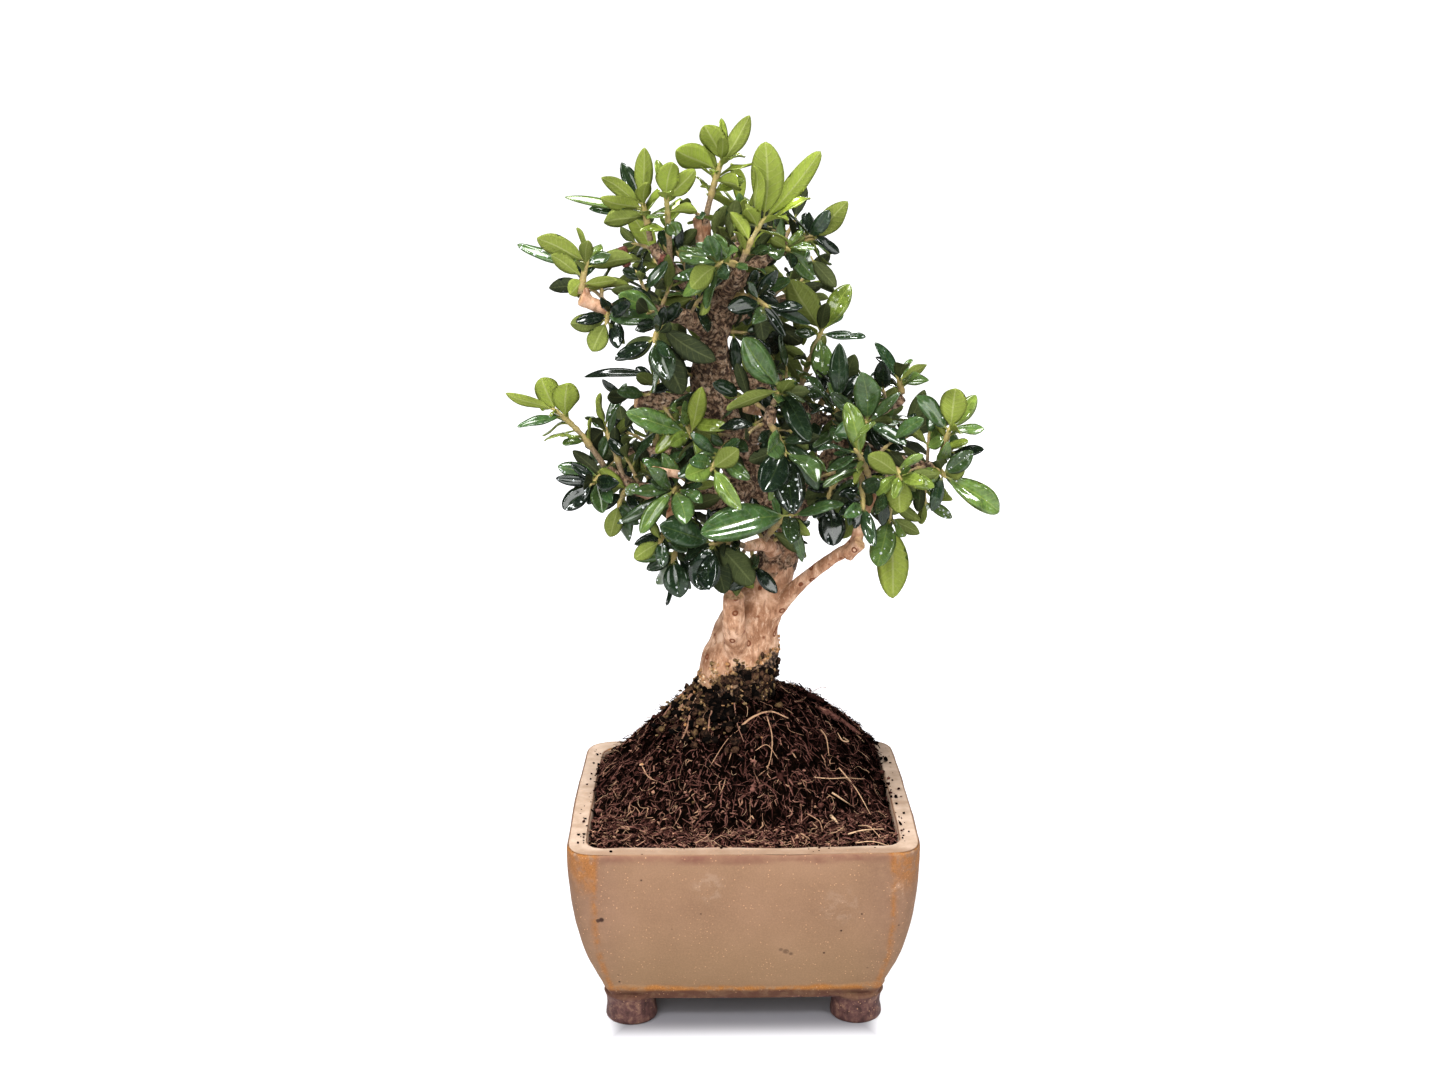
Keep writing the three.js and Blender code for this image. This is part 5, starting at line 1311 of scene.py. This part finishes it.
# Inner shoots: how many on each limb, tries for each, and pairs, spacing, age and clearances of their leaves.
INNER_PER_LIMB = {
    "trunk": 10, "left_low": 7, "right_main": 7, "crown_low": 6, "mid_right": 6, "right_far": 5,
    "right_back": 6, "left_back": 6, "back_mid": 6, "left_stub": 5, "front_mid": 5, "crown_left": 5,
    "crown_right": 5, "crown_back": 5, "crown_back_left": 5, "crown_back_right": 5, "crown_front": 3,
    "crown_top": 3, "front_low": 4, "right_front": 5, "left_down": 3,
}
INNER_TRIES = 9
INNER_PAIRS = 3
INNER_SPACING = 4.5
INNER_AGE = 0.9
INNER_CLEARANCES = (2.2, 1.6)
# Added leaves stay this far inside the box of the solids.
BOX_MARGIN = 0.4


class Stream:
    """Pseudo-random numbers from 0 to 1, the same ones as the solids were placed with."""

    def __init__(self, seed):
        self.state = (seed * 2654435761 + 12345) % 4294967296

    def draws(self, count):
        result = []
        for _ in range(count):
            self.state = (self.state * 1664525 + 1013904223) & 0xFFFFFFFF
            result.append(self.state / 4294967296)
        return result


def limb_at(name, t):
    """Place and radius of a limb, from t = 0 at its first knot to 1 at its last."""
    knots = np.array(LIMBS[name], float)
    place = t * (len(knots) - 1)
    first = min(int(place), len(knots) - 2)
    knot = knots[first] + (knots[first + 1] - knots[first]) * (place - first)
    return knot[:3], knot[3]


class Twig:
    """A gently lifted curve from foot to tip."""

    def __init__(self, foot, tip):
        self.foot, self.tip = np.array(foot, float), np.array(tip, float)
        self.length = np.linalg.norm(self.tip - self.foot)
        self.bend = (self.foot + self.tip) / 2 + [0, 0, TWIG_LIFT * self.length]
        upright = abs((self.tip - self.foot)[2]) / self.length > 0.9
        self.reference = np.array([1.0, 0, 0] if upright else [0, 0, 1.0])

    def point(self, u):
        u = np.asarray(u)[..., None]
        return self.foot * (1 - u) ** 2 + self.bend * 2 * u * (1 - u) + self.tip * u * u

    def frame(self, u):
        tangent = unit((self.bend - self.foot) * (1 - u) + (self.tip - self.bend) * u)
        side = unit(np.cross(self.reference, tangent))
        return tangent, side, np.cross(tangent, side)

    def leaf_line(self, u, azimuth, opening, length, closer=1.0):
        """Root and tip of a leaf that opens away from the twig, and the twig's direction there."""
        tangent, side, across = self.frame(u)
        out = side * math.cos(azimuth) + across * math.sin(azimuth)
        root = self.point(u) + out * ROOT_OFFSET * closer
        tip = root + tangent * length * math.cos(opening) + out * length * math.sin(opening)
        return root, tip, tangent


class Shoot:
    """One row of SHOOTS with its twig, and the leaves placed on it so far."""

    def __init__(self, limb, at, tip, pairs, leaf_length, age, own):
        self.pairs, self.leaf_length, self.age, self.own = pairs, leaf_length, age, own
        foot, self.limb_radius = limb_at(limb, at)
        self.twig = Twig(foot, tip)
        self.leaves = []


class Leaf:
    """The middle line and the lie of one leaf."""

    def __init__(self, base, tip, tangent, width, arch, age, facing=0):
        self.base, self.tip, self.width, self.arch, self.age = base, tip, width, arch, age
        self.length = np.linalg.norm(tip - base)
        self.direction = (tip - base) / self.length
        normal = tangent + [0, 0, 0.7] + FRONT * facing
        self.normal = unit(normal - self.direction * normal.dot(self.direction))
        self.side = np.cross(self.direction, self.normal)

    def centre(self, s):
        s = np.asarray(s)[..., None]
        arched = self.normal * 4 * self.arch * self.length * s * (1 - s)
        return self.base + (self.tip - self.base) * s + arched

    def samples(self):
        spots = [self.tip, self.centre(0.2)]
        for s in (0.4, 0.6, 0.8):
            for edge in (-0.45, 0, 0.45):
                spots.append(self.centre(s) + self.side * edge * self.width * (1.5 - s))
        return np.array(spots)


class Thicket:
    """Everything that a new leaf must keep clear of."""

    def __init__(self, shoots):
        self.spots, self.owners, self.kinds = [], [], []
        for name, knots in LIMBS.items():
            steps = 6 * (len(knots) - 1)
            for k in range(steps + 1):
                place, radius = limb_at(name, k / steps)
                self.add([place], -1, radius + LIMB_CLEARANCE)
        for index, shoot in enumerate(shoots):
            steps = math.ceil(shoot.twig.length / 3)
            self.add(shoot.twig.point((np.arange(steps) + 1) / steps), index, -TWIG_CLEARANCE)

    def add(self, spots, owner, gap):
        """A gap below nought is a twig, which only other shoots' leaves keep clear of; nought is a leaf."""
        self.spots.append(np.asarray(spots, float))
        self.owners.append(np.full(len(spots), owner))
        self.kinds.append(np.full(len(spots), gap))

    def pack(self):
        lists = (self.spots, self.owners, self.kinds)
        self.spots, self.owners, self.kinds = ([np.concatenate(v)] for v in lists)

    def blocked(self, samples, owner, leaf_gap=LEAF_CLEARANCE, twin_gap=TWIN_CLEARANCE):
        spots, owners, kinds = (np.concatenate(v) for v in (self.spots, self.owners, self.kinds))
        mine = owners == owner
        to_twigs, to_leaves = np.where(mine, 0.0, -kinds), np.where(mine, twin_gap, leaf_gap)
        gaps = np.where(kinds > 0, kinds, np.where(kinds < 0, to_twigs, to_leaves))
        if leaf_gap < LEAF_CLEARANCE:
            gaps = np.where(kinds == 0, gaps, gaps * 0.6)
        apart = ((samples[:, None] - spots[None]) ** 2).sum(-1)
        return bool((apart < gaps * gaps).any())


def place_own_leaves(index, shoot, thicket):
    """Leaves that were placed one by one after the photo."""
    for tip, width, at, *facing in shoot.own:
        tangent, _, _ = shoot.twig.frame(at)
        face = facing[0] if facing else 0
        age = max(shoot.age, 0.6) if face == 1 else shoot.age
        leaf = Leaf(shoot.twig.point(at), np.array(tip, float), tangent, width, LEAF_ARCH / 2, age, face)
        shoot.leaves.append((leaf, at))
        thicket.add(leaf.samples(), index, 0.0)


def trial_leaf(index, shoot, u, pair, half, attempt, draws):
    """One try at a leaf of a pair, each try turned further than the one before."""
    loose = 0.35 + 0.09 * attempt
    azimuth = index * GOLDEN_ANGLE + (pair + 2 * half) * math.pi / 2 + (draws[0] - 0.5) * 2 * loose
    opening = OPENING_AT_TIP + OPENING_STEP * pair + (draws[1] - 0.5) * loose
    length = shoot.leaf_length * (0.95 + 0.35 * draws[2]) * (0.8 if attempt > 8 else 1)
    width = length * LEAF_WIDTH_RATIO * (0.85 + 0.3 * draws[3])
    root, tip, tangent = shoot.twig.leaf_line(u, azimuth, opening, length)
    return Leaf(root, tip, tangent, width, LEAF_ARCH * (0.4 + draws[4]), shoot.age)


def place_pairs(index, shoot, thicket):
    """Pairs of leaves from the tip of the shoot down, where there is room for them."""
    stream = Stream(index + 1)
    length = shoot.twig.length
    spacing = min(PAIR_SPACING, 0.72 * length / max(1, shoot.pairs))
    for pair in range(shoot.pairs):
        u = 0.98 - pair * spacing / length
        for half in (0, 1):
            for attempt in range(LEAF_TRIES):
                leaf = trial_leaf(index, shoot, u, pair, half, attempt, stream.draws(5))
                if not thicket.blocked(leaf.samples(), index):
                    thicket.add(leaf.samples(), index, 0.0)
                    leaf.width *= PAIR_SLIMNESS
                    shoot.leaves.append((leaf, u))
                    break


def grow_leaves():
    shoots = [Shoot(*row) for row in SHOOTS]
    thicket = Thicket(shoots)
    for index, shoot in enumerate(shoots):
        place_own_leaves(index, shoot, thicket)
    for index, shoot in enumerate(shoots):
        thicket.pack()
        place_pairs(index, shoot, thicket)
    return shoots, thicket


def leaf_form(leaf, rng, s, columns):
    """Rings of points round a leaf, upper face first, and what it takes to find a place on its upper face."""
    t = np.clip((s - STALK) / (1 - STALK), 0, 1)
    a, b = rng.uniform(0.66, 0.90), rng.uniform(0.60, 0.80)
    peak = (a / (a + b)) ** a * (b / (a + b)) ** b
    half = leaf.width / 2 * t ** a * (1 - t) ** b / peak
    half = np.maximum(half, 0.42 * (1 - smooth_step(t, 0, 0.2)))
    fold, curl = rng.uniform(0.06, 0.46), rng.uniform(0.0, 0.34)
    twist = rng.normal(0, 0.42)
    ruffle, phase = rng.uniform(0.0, 0.55), rng.uniform(0, 6.28)
    sickle, bow, bend = rng.normal(0, 1, 3) * [0.022, 0.022, 0.026] * leaf.length
    turn = twist * np.sin(np.pi * s) * (s - 0.2)
    side = np.cos(turn)[:, None] * leaf.side + np.sin(turn)[:, None] * leaf.normal
    normal = np.cos(turn)[:, None] * leaf.normal - np.sin(turn)[:, None] * leaf.side
    centre = leaf.centre(s) + leaf.side * (sickle * np.sin(np.pi * s))[:, None]
    centre = centre + leaf.normal * (bow * np.sin(np.pi * s) + bend * np.sin(2 * np.pi * s))[:, None]
    blade = smooth_step(s, STALK * 0.8, STALK + 0.16)

    def height(u, half_width, along, blade):
        cup = half_width * (fold * np.abs(u) - curl * np.abs(u) ** 3)
        wave = ruffle * u * u * np.sin(along * 11 + phase + 1.5 * np.sign(u))
        groove = -0.16 * np.exp(-(u / 0.16) ** 2) * blade
        return cup + wave * blade + groove

    def face(u, below=0):
        up = height(u[None], half[:, None], s[:, None], blade[:, None]) - below
        sideways = side[:, None] * (half[:, None] * u[None])[..., None]
        return centre[:, None] + sideways + normal[:, None] * up[..., None]

    inner = columns[1:-1]
    midrib = 0.38 * np.exp(-(inner[None] / 0.14) ** 2) * (1 - 0.7 * s[:, None])
    thick = BLADE * (1 - inner[None] ** 2) + midrib
    thick = np.where(blade[:, None] < 0.3, 0.75 * np.sqrt(1 - inner[None] ** 2), thick)
    ring = np.concatenate([face(columns), face(inner, thick)[:, ::-1]], 1)
    return ring, centre, side, normal, half, height, blade


def add_leaf(shell, leaf, rng, small=False):
    """One leaf with its upper and under face. Returns its form, for the drops on it."""
    rows, columns = (SMALL_ROWS, SMALL_COLUMNS) if small else (LEAF_ROWS, LEAF_COLUMNS)
    ring, *form = leaf_form(leaf, rng, rows, columns)
    count, girth, _ = ring.shape
    points = np.vstack([ring.reshape(-1, 3), leaf.tip[None]])
    quads = grid_faces(count, girth).reshape(count - 1, girth, 4)
    last = np.arange((count - 1) * girth, count * girth)
    fan = np.stack([last, np.roll(last, -1), np.full(girth, count * girth)], -1)
    across = np.concatenate([np.abs(columns), np.abs(columns[1:-1])[::-1]])
    tint = np.empty((len(points), 4))
    tint[:, 0] = np.clip(leaf.age + rng.normal(0, 0.1 + 0.1 * leaf.age), 0, 1)
    tint[:, 1] = rng.random()
    tint[:-1, 2] = np.tile(across, count)
    tint[:-1, 3] = np.repeat(rows, girth)
    tint[-1, 2:] = (0, 1)
    upper = len(columns) - 1
    foot = np.arange(girth)[None, ::-1]
    shell.add(points, [quads[:, :upper].reshape(-1, 4), fan[:upper]], UPPER, tint)
    shell.add_faces([quads[:, upper:].reshape(-1, 4), fan[upper:], foot], UNDER, len(points))
    return form


def add_twig(shell, twig, nodes, age, start=0.0, base=TWIG_BASE_RADIUS, tip=TWIG_TIP_RADIUS, sides=9):
    """A twig with swollen nodes, ending in a small bud."""
    steps = max(8, int(twig.length * 0.9))
    u = start + (1 - start) * np.linspace(0, 1, steps + 1)
    path = twig.point(u)
    swell = np.zeros(len(u))
    for node in nodes:
        swell = np.maximum(swell, np.exp(-((u - node) * twig.length / 1.3) ** 2))
    radius = (base + (tip - base) * u) * (1 + 0.42 * swell)
    heading = unit(path[-1] - path[-2])
    bud = path[-1] + heading * np.array([0.7, 1.5, 2.1])[:, None]
    path = np.vstack([path, bud])
    radius = np.concatenate([radius, np.array([0.95, 0.7, 0.2]) * tip])
    path = path + 0.16 * np.column_stack([noise(path, 6, k) for k in (61, 62, 63)]) * (radius > 0.3)[:, None]
    points, faces = strands(path[None], radius[None], sides)
    along = np.repeat(np.concatenate([u, np.ones(len(bud))]), sides)
    bulge = np.repeat(np.concatenate([swell, np.full(len(bud), 0.8)]), sides)
    tint = np.column_stack([np.full(len(along), age), bulge, along, np.zeros(len(along))])
    shell.add(points, faces, STEM, tint)


def add_drops(shell, form, count, rng):
    """Drops of water that sit on the upper face."""
    centre, side, normal, half, height, blade = form
    rows = np.linspace(0, 1, len(centre) + 1)[:-1]
    angle = around(DROP_SIDES)
    rings = len(DROP_RINGS)
    index = np.arange(rings * DROP_SIDES).reshape(rings, DROP_SIDES)
    near, far = index[:-1], index[1:]
    quads = np.stack([near, far, np.roll(far, -1, 1), np.roll(near, -1, 1)], -1)
    fan = np.stack([index[-1], np.full(DROP_SIDES, index.size), np.roll(index[-1], -1)], -1)
    for _ in range(count):
        row = int(rng.integers(4, len(centre) - 1))
        u = rng.uniform(-0.75, 0.75)
        size = min(rng.gamma(3, 0.075) + 0.16, 0.62)
        up = height(np.array([u]), half[row], rows[row], blade[row])[0]
        place = centre[row] + side[row] * half[row] * u + normal[row] * up
        along = np.cross(side[row], normal[row])
        points = []
        for level, reach in DROP_RINGS:
            circle = np.cos(angle)[:, None] * side[row]
            circle = circle + np.sin(angle)[:, None] * along * rng.uniform(0.9, 1.15)
            points.append(place + size * (reach * circle + level * normal[row]))
        points.append((place + size * DROP_TOP * normal[row])[None])
        shell.add(np.vstack(points), [quads.reshape(-1, 4), fan, index[0][None]], DROP)


def inside_box(points):
    low = (np.array(cad_low) - POT_MIDDLE) / MM
    high = (np.array(cad_high) - POT_MIDDLE) / MM
    return bool(((points > low + BOX_MARGIN) & (points < high - BOX_MARGIN)).all())


def fill_spray(index, shoot, thicket, rng):
    """Smaller leaves between the pairs, as the real shoots have."""
    placed = []
    for _ in range(FILL_TRIES):
        if len(placed) == FILL_LEAVES:
            break
        u = rng.uniform(0.3, 0.97)
        azimuth = rng.uniform(0, 2 * math.pi)
        opening = rng.uniform(0.6, 1.5)
        length = rng.uniform(10, 17)
        line = shoot.twig.leaf_line(u, azimuth, opening, length)
        width = length * rng.uniform(0.32, 0.46)
        leaf = Leaf(*line, width, rng.uniform(0, 0.12), min(1, shoot.age + 0.15), rng.choice([-1, 0, 0, 1]))
        spots = leaf.samples()
        if inside_box(spots) and not thicket.blocked(spots, index, *FILL_CLEARANCES):
            thicket.add(spots, index, 0.0)
            placed.append((leaf, u))
    return placed


def build_sprays(finishes):
    """One leafy shoot for each spray of the solids, with its twig, leaves and drops of water."""
    shoots, thicket = grow_leaves()
    for index, shoot in enumerate(shoots):
        rng = np.random.default_rng(500 + index)
        thicket.pack()
        extra = fill_spray(index, shoot, thicket, rng)
        shell = Shell()
        inside = shoot.limb_radius * 0.6 / shoot.twig.length
        nodes = sorted({u for _, u in shoot.leaves + extra})
        add_twig(shell, shoot.twig, nodes, shoot.age, min(inside, 0.3))
        for leaf, _ in shoot.leaves:
            form = add_leaf(shell, leaf, rng)
            add_drops(shell, form, int(rng.gamma(1.3, 3.2 if leaf.age > 0.4 else 1.2)), rng)
        for leaf, _ in extra:
            add_leaf(shell, leaf, rng, small=True)
        name = f"leafy_shoot_{index + 1:02d}"
        piece(name, shell.mesh(name), finishes, [f"spray_{index + 1:02d}"])
    return thicket


def inner_leaves(twig, size, owner, thicket, rng):
    """Small leaves in pairs on an inner twig, outside the limb, whose radius is size."""
    leaves = []
    turn = rng.uniform(0, math.pi)
    for pair in range(INNER_PAIRS):
        u = 0.98 - pair * INNER_SPACING / twig.length
        if u * twig.length < size + 1.5:
            break
        for half in (0, 1):
            azimuth = turn + (pair + 2 * half) * math.pi / 2 + rng.normal(0, 0.25)
            opening = 0.7 + 0.3 * pair + rng.normal(0, 0.15)
            reach = rng.uniform(11, 19)
            line = twig.leaf_line(u, azimuth, opening, reach, 0.7)
            width = reach * rng.uniform(0.34, 0.46)
            leaf = Leaf(*line, width, rng.uniform(0, 0.1), INNER_AGE, rng.choice([-1, 0, 0, 1]))
            spots = leaf.samples()
            if inside_box(spots) and not thicket.blocked(spots[[0, 3, 6, 9]], owner, *INNER_CLEARANCES):
                leaves.append((leaf, u))
    return leaves


def build_inner_shoots(finishes, thicket):
    """Short side shoots on the branches, which close the crown."""
    for number, (limb, wanted) in enumerate(INNER_PER_LIMB.items()):
        rng = np.random.default_rng(900 + number)
        thicket.pack()
        shell = Shell()
        made = 0
        for attempt in range(wanted * INNER_TRIES):
            if made == wanted:
                break
            at = rng.uniform(0.55, 0.95) if limb == "trunk" else rng.uniform(0.15, 0.98)
            foot, size = limb_at(limb, at)
            direction = unit(rng.normal(0, 1, 3) + [0, 0, 0.5])
            length = size + rng.uniform(6, 15)
            twig = Twig(foot, foot + direction * length)
            owner = 100 + number * 20 + attempt
            leaves = inner_leaves(twig, size, owner, thicket, rng)
            if len(leaves) < 2:
                continue
            for leaf, _ in leaves:
                thicket.add(leaf.samples(), owner, 0.0)
                add_leaf(shell, leaf, rng, small=True)
            nodes = [u for _, u in leaves]
            add_twig(shell, twig, nodes, INNER_AGE, min(0.5, size * 0.6 / length), 0.85, 0.55, 6)
            made += 1
        if made:
            name = f"inner_shoots_{limb}"
            piece(name, shell.mesh(name), finishes)


# Stage, with places and sizes in metres. Lights: name, place, aim, size and power.
FLOOR_REACH = 30
WORLD_STRENGTH = 0.04
PICTURE_GAMMA = 0.88
PICTURE_EXPOSURE = 0.18
LIGHTS = [
    ("softbox_above", (-0.2, -0.25, 1.45), (0, 0, 0.12), (0.60, 0.46), 16.5),
    ("softbox_front", (-0.4, -1.55, 0.75), (0, 0, 0.15), (0.8, 0.7), 12.0),
    ("softbox_right", (1.4, -0.4, 0.8), (0, 0, 0.18), (0.6, 0.7), 5.0),
    ("strip_left", (-0.75, -0.95, 1.15), (0, 0, 0.25), (0.15, 0.36), 9.0),
    ("strip_right", (0.7, -1.0, 1.0), (0, 0, 0.25), (0.13, 0.32), 7.0),
    ("softbox_back", (0.0, 1.6, 0.45), (0, 0, 0.2), (2.0, 0.8), 4.5),
    ("strip_back", (0.3, 1.1, 1.2), (0, 0, 0.25), (0.28, 0.10), 5.0),
]


def set_floor():
    corners = ((-1, -1), (1, -1), (1, 1), (-1, 1))
    mesh = bpy.data.meshes.new("floor")
    mesh.from_pydata([(x * FLOOR_REACH, y * FLOOR_REACH, 0) for x, y in corners], [], [(0, 1, 2, 3)])
    mesh.materials.append(floor_with_painted_glow())
    floor = linked("floor", mesh)


def set_world():
    """White where the camera sees it, and a faint light on the object."""
    world = bpy.data.worlds.new("studio")
    bpy.context.scene.world = world
    world.use_nodes = True
    nodes, links = world.node_tree.nodes, world.node_tree.links
    nodes.clear()
    path = nodes.new("ShaderNodeLightPath")
    seen, lit = nodes.new("ShaderNodeBackground"), nodes.new("ShaderNodeBackground")
    seen.inputs[0].default_value, seen.inputs[1].default_value = (1, 1, 1, 1), 1.0
    lit.inputs[0].default_value, lit.inputs[1].default_value = (1, 0.99, 0.98, 1), WORLD_STRENGTH
    blend = nodes.new("ShaderNodeMixShader")
    output = nodes.new("ShaderNodeOutputWorld")
    links.new(path.outputs["Is Camera Ray"], blend.inputs[0])
    links.new(lit.outputs[0], blend.inputs[1])
    links.new(seen.outputs[0], blend.inputs[2])
    links.new(blend.outputs[0], output.inputs[0])


def set_lights():
    for name, place, aim, size, power in LIGHTS:
        data = bpy.data.lights.new(name, "AREA")
        data.shape = "RECTANGLE"
        data.size, data.size_y = size
        data.energy = power
        lamp = linked(name, data)
        lamp.location = place
        lamp.rotation_mode = "QUATERNION"
        lamp.rotation_quaternion = (Vector(aim) - Vector(place)).to_track_quat("-Z", "Y")


def set_stage():
    view = bpy.context.scene.view_settings
    view.view_transform = "Standard"
    view.look = "None"
    view.gamma = PICTURE_GAMMA
    view.exposure = PICTURE_EXPOSURE
    set_floor()
    set_world()
    set_lights()


# Camera: focal length in pixels of a picture 1445 wide, place, and angles in degrees.
PICTURE_WIDTH = 1445
FOCAL_PIXELS = 1799
CAMERA_PLACE = (-9.5, -768.5, 362.5)
YAW, PITCH, ROLL = 0.13, 12.11, -0.38


def set_camera():
    yaw, pitch, roll = (math.radians(a) for a in (YAW, PITCH, ROLL))
    ahead = Vector((math.sin(yaw) * math.cos(pitch), math.cos(yaw) * math.cos(pitch), -math.sin(pitch)))
    right = Vector((math.cos(yaw), -math.sin(yaw), 0))
    up = right.cross(ahead)
    right, up = (math.cos(roll) * right + math.sin(roll) * up, -math.sin(roll) * right + math.cos(roll) * up)
    data = bpy.data.cameras.new("camera")
    data.sensor_fit = "HORIZONTAL"
    data.sensor_width = 36
    data.lens = FOCAL_PIXELS * 36 / PICTURE_WIDTH
    camera = linked("camera", data)
    turn = Matrix((right, up, -ahead)).transposed().to_4x4()
    turn.translation = Vector(np.array(CAMERA_PLACE) * MM + POT_MIDDLE)
    camera.matrix_world = turn
    bpy.context.scene.camera = camera


set_camera()
set_stage()
build_pot()
build_soil()
shred_finish = shreds()
build_shreds(shred_finish)
build_fibres(shred_finish)
build_crumbs(shred_finish)
trunk_points, trunk_normals, trunk_crust = build_trunk()
build_nodules(cork(), trunk_points, trunk_normals, trunk_crust)
leaf_finishes = [leaf_top(), leaf_under(), twig_bark(), water()]
thicket = build_sprays(leaf_finishes)
build_inner_shoots(leaf_finishes, thicket)
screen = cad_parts["drain_screen"]
screen.data.materials.clear()
screen.data.materials.append(mesh_plastic())
